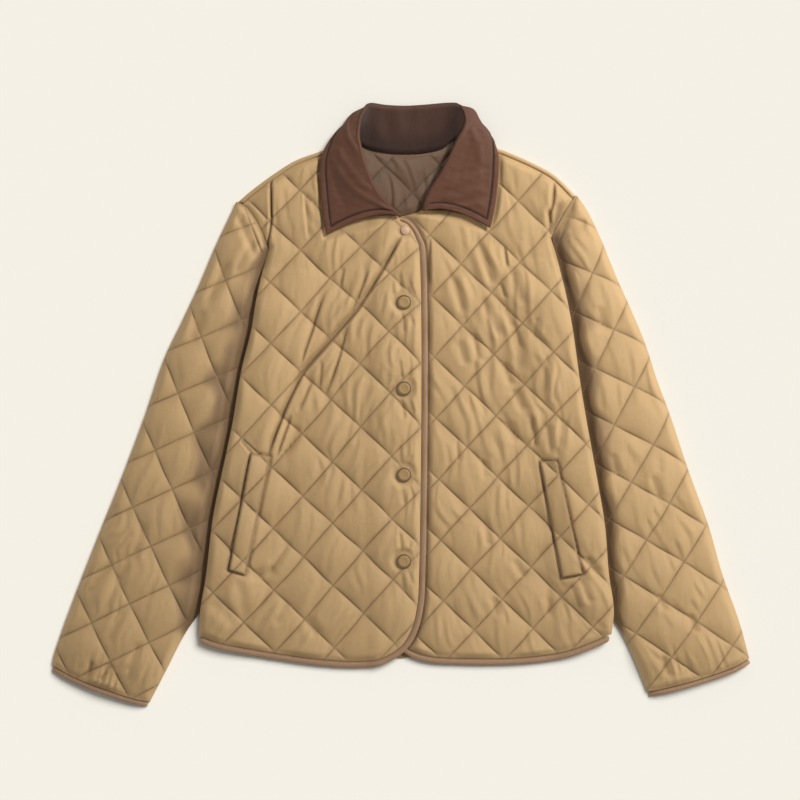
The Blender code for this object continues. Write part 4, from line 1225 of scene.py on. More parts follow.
@dataclass(frozen=True)
class Tape(Cloth):
    """Binding tape: fine ribs and a soft gleam along its fold."""

    crinkle: float = 0.00025
    crinkle_size: float = 0.004
    # The colour of the painted shade on the tape.
    deep: Colour = (0.13, 0.066, 0.036)


@dataclass(frozen=True)
class Thread(Finish):
    """Sewing thread, twisted from plies."""

    def dress(self, graph: Graph) -> None:
        """Adds the twist as fine slanted ridges."""
        graph.link(graph.bump(graph.thread_wave(0.0004, 35.0), 0.00004), graph.shader.inputs["Normal"])


@dataclass(frozen=True)
class Painted(Finish):
    """Painted metal, faintly scuffed, for snap caps and studs."""

    def dress(self, graph: Graph) -> None:
        """Adds a fine pebble and slight wear in the paint.

        Args:
            graph: The graph to add them to.
        """
        wear = graph.noise(graph.scaled(420, 420, 420), 4.0, 0.6)
        graph.link(graph.blend(wear, self.tint(0.93), self.tint(1.07)), graph.shader.inputs["Base Color"])
        graph.link(graph.sum("MULTIPLY_ADD", wear, 0.14, self.roughness - 0.07),
                   graph.shader.inputs["Roughness"])
        grain = graph.noise(graph.scaled(1600, 1600, 1600), 2.0)
        graph.link(graph.bump(grain, 0.00004), graph.shader.inputs["Normal"])


@dataclass(frozen=True)
class Paper(Finish):
    """The plain pale floor."""


# Each deep colour below is the colour of that cloth's painted shade.
SHELL = Cloth("camel shell cloth", Slot.SHELL, (0.478, 0.310, 0.142), 0.56, sheen=0.2,
              sheen_tint=(1.0, 0.9, 0.75), specular=0.42)
COLLAR = Cloth("brown collar cloth", Slot.COLLAR, (0.100, 0.037, 0.017), 0.6, sheen=0.06,
               sheen_tint=(0.9, 0.62, 0.45), specular=0.4, thread=0.0005, crinkle=0.00035,
               crinkle_size=0.009, diagonal=True, deep=(0.020, 0.007, 0.004), rim_highlight_tint=1.12, patchy=0.14)
LINING = Cloth("taupe lining satin", Slot.LINING, (0.124, 0.063, 0.029), 0.38, sheen=0.05,
               specular=0.45, thread=0.0004, crinkle=0.0004, crinkle_size=0.012,
               deep=(0.030, 0.016, 0.009))
BINDING = Tape("tan binding tape", Slot.BINDING, (0.33, 0.198, 0.108), 0.5, sheen=0.12,
               sheen_tint=(1.0, 0.87, 0.75), specular=0.45)
SHELL_THREAD = Thread("camel quilting thread", Slot.NONE, (0.36, 0.225, 0.10), 0.6, specular=0.4)
COLLAR_THREAD = Thread("brown collar thread", Slot.NONE, (0.045, 0.018, 0.010), 0.8, specular=0.15)
LINING_THREAD = Thread("taupe lining thread", Slot.NONE, (0.15, 0.095, 0.055), 0.6, specular=0.4)
TAPE_THREAD = Thread("tan binding thread", Slot.NONE, (0.33, 0.19, 0.12), 0.6, specular=0.4)
CAP_FACE = Painted("camel painted cap", Slot.SNAP, (0.345, 0.220, 0.092), 0.4, coat=0.15)
CAP_RIM = Painted("dark painted cap rim", Slot.SNAP, (0.175, 0.106, 0.044), 0.42, coat=0.1)
STUD = Painted("pale painted stud", Slot.STUD, (0.56, 0.36, 0.235), 0.36, coat=0.2)
FLOOR = Paper("pale floor", Slot.NONE, (0.900, 0.880, 0.820), 0.9, specular=0.0)


# --- sewing
@dataclass(frozen=True)
class Sewing:
    """A row of lock stitches: short beads of thread sunk in the cloth."""

    pitch: float = 3.6
    length: float = 2.5
    radius: float = 0.34
    sunk: float = 0.05
    lead: float = 0.6

    def beads(self, runs: Sequence[Array]) -> tuple[Array, list]:
        """Makes the beads along lines that lie on the cloth.

        Args:
            runs: Lines of close points in space, in mm.

        Returns:
            The points and faces of all the beads.
        """
        starts, ends = [], []
        for run in runs:
            along = lengths_along(run)
            first = np.arange(self.lead, along[-1] - self.length, self.pitch)
            starts.append(read_at(first, along, run))
            ends.append(read_at(first + self.length, along, run))
        a, b = np.vstack(starts), np.vstack(ends)
        ahead = (b - a) / np.linalg.norm(b - a, axis=1)[:, None]
        side = np.cross(ahead, (0.0, 0.0, 1.0))
        side /= np.linalg.norm(side, axis=1)[:, None]
        up = np.cross(side, ahead)
        shape = ((-0.04, 0.3, -0.4), (0.22, 1.0, 0.0), (0.78, 1.0, 0.0), (1.04, 0.3, -0.4))
        rings = []
        for share, wide, rise in shape:
            centre = a + (b - a) * share + up * (rise * self.radius - self.sunk)
            for turn in (0, 1, 2, 3):
                angle = math.pi * (0.25 + turn / 2)
                spoke = side * math.cos(angle) + up * math.sin(angle)
                rings.append(centre + spoke * self.radius * wide)
        count, size = len(a), len(rings)
        verts = np.stack(rings, axis=1).reshape(-1, 3)
        pattern = [(i * 4 + k, i * 4 + (k + 1) % 4, i * 4 + 4 + (k + 1) % 4, i * 4 + 4 + k)
                   for i in range(len(shape) - 1) for k in range(4)]
        pattern += [(3, 2, 1, 0), (size - 4, size - 3, size - 2, size - 1)]
        faces = (np.array(pattern)[None] + np.arange(count)[:, None, None] * size).reshape(-1, 4)
        return verts, faces.tolist()

    def sew(self, name: str, runs: Sequence[Array], finish: Finish) -> None:
        """Adds one piece with all the stitches along some lines."""
        verts, faces = self.beads([run for run in runs if len(run) > 3])
        make_piece(name, verts, faces, finish)


def laid_on(runs: Sequence[Array], verts: Array, faces: Sequence, from_above: bool = True) -> list[Array]:
    """Drops flat lines onto a surface.

    Args:
        runs: Flat lines.
        verts: The surface's points, in mm.
        faces: Its faces.
        from_above: Whether the lines meet its upper or its lower side.

    Returns:
        The lines' parts that meet it, in space.
    """
    tree = BVHTree.FromPolygons(verts.tolist(), [tuple(map(int, f)) for f in faces])
    start, way = (400.0, -1.0) if from_above else (-400.0, 1.0)
    found = []
    for run in runs:
        part = []
        for x, y in run:
            hit = tree.ray_cast((x, y, start), (0.0, 0.0, way))[0]
            if hit is not None:
                part.append(tuple(hit))
        if len(part) > 4:
            found.append(np.array(part))
    return found


# --- collar pattern
COLLAR_COLUMNS = ("nx", "ny", "nz", "fx", "fy", "fz", "tx", "ty", "tz", "ex", "ey", "ez", "turn")
COLLAR_STATIONS = (
    (-14.4, 229.2, 11.8, -0.6, 225.6, 14.6, -39.6, 224.4, 14, -88.8, 202.8, 12.6, 90),
    (-27, 240, 11.8, -12.6, 237, 15, -48, 236.4, 14.2, -91.8, 218.4, 11.4, 90),
    (-40.8, 254.4, 10.4, -27, 253.8, 15.4, -58.8, 249.6, 14.2, -94.2, 238.8, 10.8, 90),
    (-48.6, 270, 10.2, -35.4, 269.4, 15.8, -64.8, 265.2, 14.4, -96, 258, 10.6, 90),
    (-54, 286.8, 10.2, -42.6, 288, 16.2, -69.6, 285.6, 14.8, -97.2, 279.6, 10.6, 80),
    (-57.6, 298.8, 10.2, -48, 307.2, 16.8, -70.8, 304.8, 14.8, -94.8, 297.6, 10.4, 60),
    (-58.8, 308.4, 9.6, -51, 321.6, 16.8, -75, 321.6, 12.6, -84, 316, 6, 30),
    (-58.8, 318, 7.6, -49.8, 339.6, 14.8, -68.4, 335.4, 8.2, -66.6, 330, 3.4, 0),
    (-53.4, 314.4, 5.2, -44.4, 353.4, 9.4, -57.6, 346.8, 5.2, -54.6, 329.4, 1.9, -40),
    (-40.2, 306.6, 3.8, -37.2, 360, 4.6, -39.6, 342, 1.8, -39.6, 315, 1.5, -80),
    (-18, 301.8, 3.3, -18, 358, 3, -18, 336, 1.5, -18, 309, 1.4, -90),
    (3.6, 300.6, 3.3, 3.6, 357, 2.9, 3.6, 336, 1.5, 3.6, 307.2, 1.4, -90),
    (25.2, 301.8, 3.3, 25.2, 358, 3, 25.2, 336, 1.5, 25.2, 309, 1.4, -90),
    (48, 306.6, 3.8, 59.4, 360.4, 4.2, 54, 342, 1.8, 53.4, 315, 1.5, -80),
    (60.6, 315.4, 5.4, 73.4, 356, 8.8, 84, 351.4, 5.2, 70.2, 332.4, 1.9, -40),
    (66.4, 320.6, 9.4, 78.4, 342.4, 14, 94.4, 339, 8.4, 86.4, 330, 4, 0),
    (68.4, 309.6, 9.6, 75.6, 330, 16.8, 103.2, 325.2, 12.2, 106.8, 315, 7, 30),
    (66, 298.8, 10.2, 67.2, 315.6, 16.8, 97.2, 310.8, 14.6, 116, 301.2, 10.4, 60),
    (60.6, 284.4, 10.2, 56.4, 292.8, 16.2, 85.2, 285.6, 14.8, 117, 280.8, 10.6, 80),
    (52.8, 268.8, 10.2, 46.8, 274.8, 15.8, 79.2, 266.4, 14.4, 115.2, 258, 10.6, 90),
    (43.8, 253.8, 9.8, 36, 258, 15, 73.2, 247.2, 13.4, 112.8, 238.8, 10.8, 90),
    (35.4, 243, 9.6, 28.8, 242.4, 14.2, 66, 235.2, 13, 109.8, 223.2, 11.4, 90),
    (32.4, 236.4, 9.6, 26.4, 231.6, 13.4, 62.4, 231.6, 13, 106.8, 211.2, 12.4, 90),
)


def collar_outline() -> Array:
    """The outline of the collar's fall, under which the fronts are flat."""
    rows = [dict(zip(COLLAR_COLUMNS, row)) for row in COLLAR_STATIONS]
    return np.array([(r["ex"], r["ey"]) for r in rows] + [(r["fx"], r["fy"]) for r in rows[::-1]])


def pressed(points: Array, outline: Array, margin: float, hold: float = 2.4) -> Array:
    """1 where something lies on the cloth, 0 a margin away from it.

    Args:
        points: Flat points, one a row.
        outline: The outline of what lies there.
        margin: How far the cloth takes to rise beside it, in mm.
        hold: How far outside the outline it is still held, in mm.

    Returns:
        One share for each point.
    """
    away = distance_to(points, outline, closed=True)
    away[inside(points, outline)] = 0
    return 1 - smooth((away - hold) / margin)


# --- snap places
@dataclass(frozen=True)
class SnapRow:
    """The painted snap caps down the lap and the small stud at the neck."""

    x: float = 3.6
    top_y: float = 122.9
    pitch: float = 103.2
    count: int = 4
    diameter: float = 17.6
    height: float = 2.4
    stud_at: tuple[float, float] = (5.0, 208.6)
    stud_diameter: float = 10.4
    stud_height: float = 2.2
    seat_rise: float = 1.4
    seat_ease: float = 7.0
    sides: int = 64

    def places(self) -> list[tuple[float, float]]:
        """The centres of the snap caps, top to bottom."""
        return [(self.x, self.top_y - self.pitch * k) for k in range(self.count)]

    def seated(self, points: Array) -> Array:
        """1 on the flat seat of a cap or the stud, 0 away from it.

        Args:
            points: Flat points, one a row.

        Returns:
            One share for each point.
        """
        total = np.zeros(len(points))
        seats = [(place, self.diameter / 2 + 2.0) for place in self.places()]
        for centre, radius in seats + [(self.stud_at, self.stud_diameter / 2 + 0.5)]:
            away = np.linalg.norm(points - np.array(centre), axis=1)
            total = np.maximum(total, 1 - smooth((away - radius - 0.1) / self.seat_ease))
        return total

    def level(self) -> float:
        """The height of the flat seats under the caps."""
        return LAY.front_wall + self.seat_rise + LAY.back_wall + 2 * LAY.seam_gap + LAY.lap_rise

    def turned(self, centre: tuple[float, float], profile: Sequence[tuple[float, float]]) -> tuple:
        """Turns a profile of radius and height into a closed round body.

        Args:
            centre: The middle of its base.
            profile: Its radii and heights, from the outside in.

        Returns:
            Its points and its faces.
        """
        angles = 2 * math.pi * np.arange(self.sides) / self.sides
        rings = [np.stack([centre[0] + r * np.cos(angles), centre[1] + r * np.sin(angles),
                           np.full(self.sides, self.level() + z)], axis=1) for r, z in profile]
        return ribbon_tube(np.array(rings))

    def build(self) -> None:
        """Adds each cap's dark rim and dished face, and the stud."""
        r = self.diameter / 2
        h = self.height
        rim = [(r - 0.9, 0.0), (r - 0.25, 0.15), (r, 0.6), (r, 1.1), (r - 0.35, 1.6), (r - 1.0, 1.85),
               (r - 1.5, 1.6), (r - 1.7, 1.1), (r - 1.8, 0.5)]
        face = [(r - 2.2, 0.2), (r - 1.75, 0.7), (r - 1.85, 1.6), (r - 2.3, h - 0.3), (r - 3.0, h - 0.02),
                (r - 3.8, h - 0.05), (r - 5.0, h - 0.22), (r - 7.0, h - 0.36), (0.4, h - 0.4)]
        for k, place in enumerate(self.places(), 1):
            piece = make_piece(f"cap_rim_{k}", *self.turned(place, rim), CAP_RIM)
            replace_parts(piece, f"snap_{k}")
            make_piece(f"cap_face_{k}", *self.turned(place, face), CAP_FACE)
        r = self.stud_diameter / 2
        h = self.stud_height
        stud = [(r - 0.7, 0.0), (r - 0.1, 0.25), (r, 0.7), (r - 0.2, 1.2), (r - 0.7, 1.6), (r - 1.3, 1.7),
                (r - 1.6, 1.55), (r - 1.9, 1.6), (r - 2.3, h - 0.1), (r - 3.2, h), (0.3, h)]
        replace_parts(make_piece("stud_cap", *self.turned(self.stud_at, stud), STUD), "stud_neck")
        LOG.info("snap row: %d caps and a stud", self.count)


SNAPS = SnapRow()


# --- quilted surfaces
def quilted_net(loop: Array, quilt: Quilt, steps: int, lines: Sequence[Array] = (),
                depths: Sequence[float] = (0.7, 1.6, 2.8, 4.4)) -> Net:
    """Triangles over an outline that follow its stitch lines and its edge.

    Args:
        loop: The closed outline.
        quilt: Its stitch lines.
        steps: How many points lie along one side of a diamond.
        lines: More flat points to pass through.
        depths: How far in the rings along its edge lie, in mm.

    Returns:
        The triangles.
    """
    kept = np.vstack([edge_rings(loop, depths), *lines])
    kept = kept[inside(kept, loop)]
    fine = spaced_from(quilt.net(loop, steps, 1.2), kept, 1.0)
    return net_over(loop, np.vstack([kept, fine]))


def valley_shade(quilt: Quilt, points: Array, depth: float = 0.36, width: float = 0.95,
                 rising_more: float = 0.55) -> Array:
    """Painted shade on the stitch lines, fading beside them.

    Args:
        quilt: The stitch lines.
        points: Flat points, one a row.
        depth: How dark the painted shade is at the bottom.
        width: How far beside a line the dark reaches, in mm.
        rising_more: How much darker the painted shade is on the rising lines.

    Returns:
        One share for each point.
    """
    near = quilt.line_distance(points)
    rising = quilt.spacing * np.abs(np.modf(quilt.uv(points)[0] + 500.5)[0] - 0.5)
    uneven = 1 + 0.25 * ripple_noise(points, 38.0, quilt.seed + 90)
    strong = 0.75 + rising_more * bell(rising, width)
    return uneven * (strong * depth * bell(near, width) + 0.07 * bell(near, 4.0))


@dataclass(frozen=True)
class QuiltedFront:
    """One quilted front and the slanted pocket welt on it."""

    name: str
    half: Half
    over: bool
    quilt: Quilt
    welt: Outline
    flat_size: tuple[float, float]
    wrinkles: Wrinkles = Wrinkles()
    steps: int = 31
    step: float = 2.0
    puff: float = 5.6
    edge_ease: float = 9.0
    roll: float = 5.5
    thin: float = 0.6
    thin_run: float = 2.5
    press_margin: float = 5.5
    welt_wall: float = 3.0
    welt_roll: float = 4.0
    welt_trench: float = 2.2
    # The welt, mouth, seam and lap numbers set painted shade on the front.
    welt_dark: float = 0.05
    welt_edge: tuple[float, float] = (0.56, 1.8)
    mouth_reach: float = 3.0
    mouth_dark: float = 0.7
    sewn_side: tuple[float, float] = (0.85, 2.6)
    welt_seam: tuple[float, float] = (0.58, 1.5)
    lap_core: tuple[float, float] = (0.62, 2.2)
    lap_haze: tuple[float, float] = (0.2, 9.0)
    lap_low: float = 0.16
    lap_low_from: float = -170.0
    lap_low_run: float = 90.0
    hidden: float = 0.97
    trench_rings: tuple[float, ...] = (-2.6, -1.2)
    welt_rings: tuple[float, ...] = (0.9, 2.0, 3.2)
    welt_inset: float = 2.2
    welt_turnings: tuple[float, float] = (1.12, 1.06)
    lining_net: tuple[float, float] = (14.0, 5.0)
    sewing_margin: float = 1.5
    stitches: Sewing = Sewing()
    welt_stitches: Sewing = Sewing(pitch=3.0, length=2.1, radius=0.3)

    @cached_property
    def welt_line(self) -> Array:
        """The welt's four corners."""
        return np.array(self.welt, float)

    @property
    def binding(self) -> float:
        """The width that the binding and its seam take, in mm."""
        return LAY.binding + LAY.seam_gap

    def loop(self) -> Array:
        """The panel's outline, inside its binding and shoulder lip.

        Returns:
            The closed outline.
        """
        half, step = self.half, self.step
        hem_side = offset(half.hem_and_front(step), half.inward * self.binding)
        top = offset(spline(half.shoulder, step), half.inward * LAY.lip)
        top = trimmed(top, half.armhole_line, LAY.seam_gap, step)
        armhole = trimmed(spline(half.armhole, step), half.shoulder_line, LAY.lip, step)
        side = trimmed(spline(half.side, step), half.front_line, self.binding, step)
        neck = trimmed(spline(half.neck, step), half.front_line, self.binding, step)
        neck = trimmed(neck, half.shoulder_line, LAY.lip, step)
        return chain(armhole, side, hem_side, neck, top)

    def held_down(self, points: Array) -> Array:
        """1 where the collar, the lap or a cap holds the cloth flat.

        Args:
            points: Flat points, one a row.

        Returns:
            One share for each point.
        """
        flat = pressed(points, collar_outline(), self.press_margin, 1.0)
        if self.over:
            return np.maximum(flat, SNAPS.seated(points))
        lap = np.vstack([RIGHT.front_line, RIGHT.neck_line])
        return np.maximum(flat, pressed(points, lap, self.press_margin, 1.0))

    def height(self, points: Array, loop: Array, flat: Array) -> Array:
        """The outside of the front.

        Args:
            points: Flat points, one a row.
            loop: The panel's outline.
            flat: Where the cloth is held down, from 0 to 1.

        Returns:
            One height in mm for each point.
        """
        to_edge = distance_to(points, loop, closed=True)
        ease = eased_in(to_edge, self.edge_ease)
        folds = self.wrinkles.rise(points, ease * self.quilt.freedom(points))
        puff = self.puff * self.quilt.fullness(points) * ease
        puff -= self.welt_trench * self.beside_welt(points) * ~inside(points, self.welt_line)
        height = np.maximum(LAY.front_wall + (puff + folds) * (1 - flat), LAY.thinnest)
        height -= self.thin * (1 - rolled(to_edge, self.thin_run)) * (1 - flat)
        if self.over:
            height += SNAPS.seat_rise * SNAPS.seated(points)
        roll = rolled(distance_to(points, self.half.edge_line), self.roll)
        return LAY.under_front(points, self.over) + self.thin + (height - self.thin) * roll

    def beside_welt(self, points: Array) -> Array:
        """1 at the welt's open side, less at its sewn side, fading outside it.

        Args:
            points: Flat points, one a row.

        Returns:
            One share for each point.
        """
        mouth = self.welt_line[[0, 3] if self.over else [1, 2]]
        share, reach = self.sewn_side
        sewn = share * bell(distance_to(points, self.welt_line, closed=True), reach)
        return np.maximum(bell(distance_to(points, mouth), self.mouth_reach), sewn)

    def shade(self, points: Array) -> Array:
        """The painted shade in its seams, creases and gaps.

        Args:
            points: Flat points, one a row.

        Returns:
            One share for each point.
        """
        dark, reach = self.welt_seam
        seam = dark * bell(distance_to(points, self.welt_line, closed=True), reach)
        shades = [valley_shade(self.quilt, points), self.wrinkles.shade(points),
                  self.mouth_dark * self.beside_welt(points) ** 2, seam]
        if not self.over:
            shades.append(self.lap_shade(points))
        return np.clip(np.maximum.reduce(shades), 0, 1)

    def lap_shade(self, points: Array) -> Array:
        """The painted shade on the under front beside the lap, more so near the hem.

        Args:
            points: Flat points, one a row.

        Returns:
            One share for each point.
        """
        away = distance_to(points, np.vstack([RIGHT.front_line, RIGHT.neck_line]))
        hollow = 1.25 - 0.6 * self.quilt.fullness(points)
        low = self.lap_low * smooth((self.lap_low_from - points[:, 1]) / self.lap_low_run)
        (core, near), (haze, far) = self.lap_core, self.lap_haze
        return hollow * (core * bell(away, near) + (haze + low) * bell(away, far))

    def build(self) -> None:
        """Adds the panel, its quilting stitches and its welt."""
        loop = self.loop()
        welt = chain(resample(np.vstack([self.welt_line, self.welt_line[:1]]), self.step))
        trench = [edge_rings(welt, self.trench_rings), welt, edge_rings(welt, self.welt_rings)]
        net = quilted_net(loop, self.quilt, self.steps, [*trench, *self.wrinkles.guides()])
        top = np.column_stack([net.points, self.height(net.points, loop, self.held_down(net.points))])
        under = net_over(loop, even_net(loop, *self.lining_net))
        bottom = np.column_stack([under.points, LAY.under_front(under.points, self.over)])
        verts, faces = shell_of(top, net, under, bottom)
        valley = np.concatenate([self.shade(net.points), np.zeros(len(bottom))])
        piece = make_piece("quilted_" + self.name, verts, faces, SHELL, {"valley": valley})
        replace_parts(piece, self.name)
        runs = laid_on(self.quilt.seams(loop, self.sewing_margin), top, net.faces)
        self.stitches.sew("stitches_" + self.name, self.clear_of(runs), SHELL_THREAD)
        self.build_welt(welt, top, net)

    def clear_of(self, runs: list[Array]) -> list[Array]:
        """Cuts lines of stitches where the welt, a cap or the collar hides them.

        Args:
            runs: The lines of stitches.

        Returns:
            What still shows of each.
        """
        kept = []
        for run in runs:
            flat = run[:, :2]
            hidden = inside(flat, self.welt_line) | (self.held_down(flat) > self.hidden)
            breaks = np.flatnonzero(np.diff(hidden.astype(int))) + 1
            kept += [run[part] for part in np.split(np.arange(len(run)), breaks) if not hidden[part[0]]]
        return kept

    def build_welt(self, outline: Array, top: Array, net: Net) -> None:
        """Adds the welt, made from the front's own points moved out.

        Args:
            outline: The welt's closed outline.
            top: The points of the front's outside.
            net: The net that joins them.
        """
        chosen = net.faces[inside(net.points[net.faces].mean(axis=1), outline)]
        used, chosen = np.unique(chosen, return_inverse=True)
        chosen = chosen.reshape(-1, 3)
        flat = net.points[used]
        depth = distance_to(flat, outline, closed=True)
        low = top[used] + (0.0, 0.0, LAY.seam_gap)
        high = low + np.outer(self.welt_wall * (0.2 + 0.8 * rolled(depth, self.welt_roll)), (0.0, 0.0, 1.0))
        sides = {tuple(s) for s in np.vstack([chosen[:, [0, 1]], chosen[:, [1, 2]],
                                              chosen[:, [2, 0]]]).tolist()}
        rim = [(a, b) for a, b in sides if (b, a) not in sides]
        count = len(used)
        faces = [tuple(f) for f in chosen] + [tuple(f[::-1] + count) for f in chosen]
        faces += [(b, a, a + count, b + count) for a, b in rim]
        # Painted shade at the welt's edges and full on its underside; the whole welt is a little darker
        # too.
        dark, reach = self.welt_edge
        shade = np.maximum(valley_shade(self.quilt, flat), dark * bell(depth, reach)) + self.welt_dark
        name = "welt_" + self.name.split("_")[1]
        piece = make_piece("pocket_" + name, np.vstack([high, low]), faces, SHELL,
                           {"valley": np.concatenate([shade, np.ones(count)])})
        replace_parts(piece, name)
        inset = edge_rings(outline, (self.welt_inset,))
        row = laid_on([np.vstack([inset, inset[:1]])], high, chosen)
        self.welt_stitches.sew("stitches_" + name, row, SHELL_THREAD)


@dataclass(frozen=True)
class QuiltedBack:
    """The quilted back, laid on its outer face, lapped over the shoulders."""

    quilt: Quilt
    flat_size: tuple[float, float]
    step: float = 3.0
    steps: int = 15
    groove: float = 1.7
    groove_width: float = 3.0
    roll: float = 5.0
    edge_wall: float = 1.6
    edge_rise: float = 1.2
    edge_roll: float = 3.0
    lining_net: tuple[float, float] = (13.0, 8.0)
    sewing_margin: float = 2.0
    stitches: Sewing = Sewing(sunk=0.1)

    def loop(self) -> Array:
        """The back's outline, its hem hidden above the fronts' hems.

        Returns:
            The closed outline.
        """
        step = self.step
        hem_line = spline(HEM_BACK, LAY.lip)
        sides = [trimmed(spline(half.side, step), hem_line, LAY.back_hem, step)
                 for half in (RIGHT, LEFT)]
        armholes = [spline(half.armhole, step) for half in (RIGHT, LEFT)]
        return chain(spline(RIGHT.shoulder, step), armholes[0], sides[0],
                     offset(spline(HEM_BACK, step), LAY.back_hem), sides[1][::-1],
                     armholes[1][::-1], spline(LEFT.shoulder, step)[::-1], spline(NECK_BACK, step))

    def build(self) -> None:
        """Adds the back with its quilted underside."""
        loop = self.loop()
        shoulders = [spline(half.shoulder, self.step) for half in (RIGHT, LEFT)]
        lips = [offset(line, way * depth) for line, way in zip(shoulders, (1, -1))
                for depth in (LAY.lip - 2.2, LAY.lip - 1.0)]
        lips = np.vstack(lips)
        rings = edge_rings(loop, (0.8, 2.0, 3.6))
        lips = spaced_from(lips[inside(lips, loop)], rings, 0.9)
        even = even_net(loop, *self.lining_net)
        net = net_over(loop, np.vstack([rings, lips, spaced_from(even, lips, 3.0)]))
        away = np.minimum(*(distance_to(net.points, line) for line in shoulders))
        lip = LAY.lip_rise * (1 - smooth((away - LAY.lip + 2.2) / 1.2))
        inner = distance_to(net.points, loop, closed=True)
        rise = LAY.lift(net.points)
        full = (LAY.back_wall + lip - self.edge_wall) * rolled(inner, self.roll)
        top = np.column_stack([net.points, rise + self.edge_wall + full])
        under = quilted_net(loop, self.quilt, self.steps, depths=(0.9, 2.4, 4.5))
        groove = self.groove * bell(self.quilt.line_distance(under.points), self.groove_width)
        edge = self.edge_rise * (1 - rolled(distance_to(under.points, loop, closed=True), self.edge_roll))
        bottom = np.column_stack([under.points, LAY.lift(under.points) + np.maximum(groove, edge)])
        verts, faces = shell_of(top, net, under, bottom)
        valley = np.concatenate([np.zeros(len(top)), valley_shade(self.quilt, under.points)])
        piece = make_piece("quilted_back", verts, faces, SHELL, {"valley": valley})
        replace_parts(piece, "back_panel")
        runs = laid_on(self.quilt.seams(loop, self.sewing_margin), bottom, under.faces, from_above=False)
        self.stitches.sew("stitches_back", runs, SHELL_THREAD)


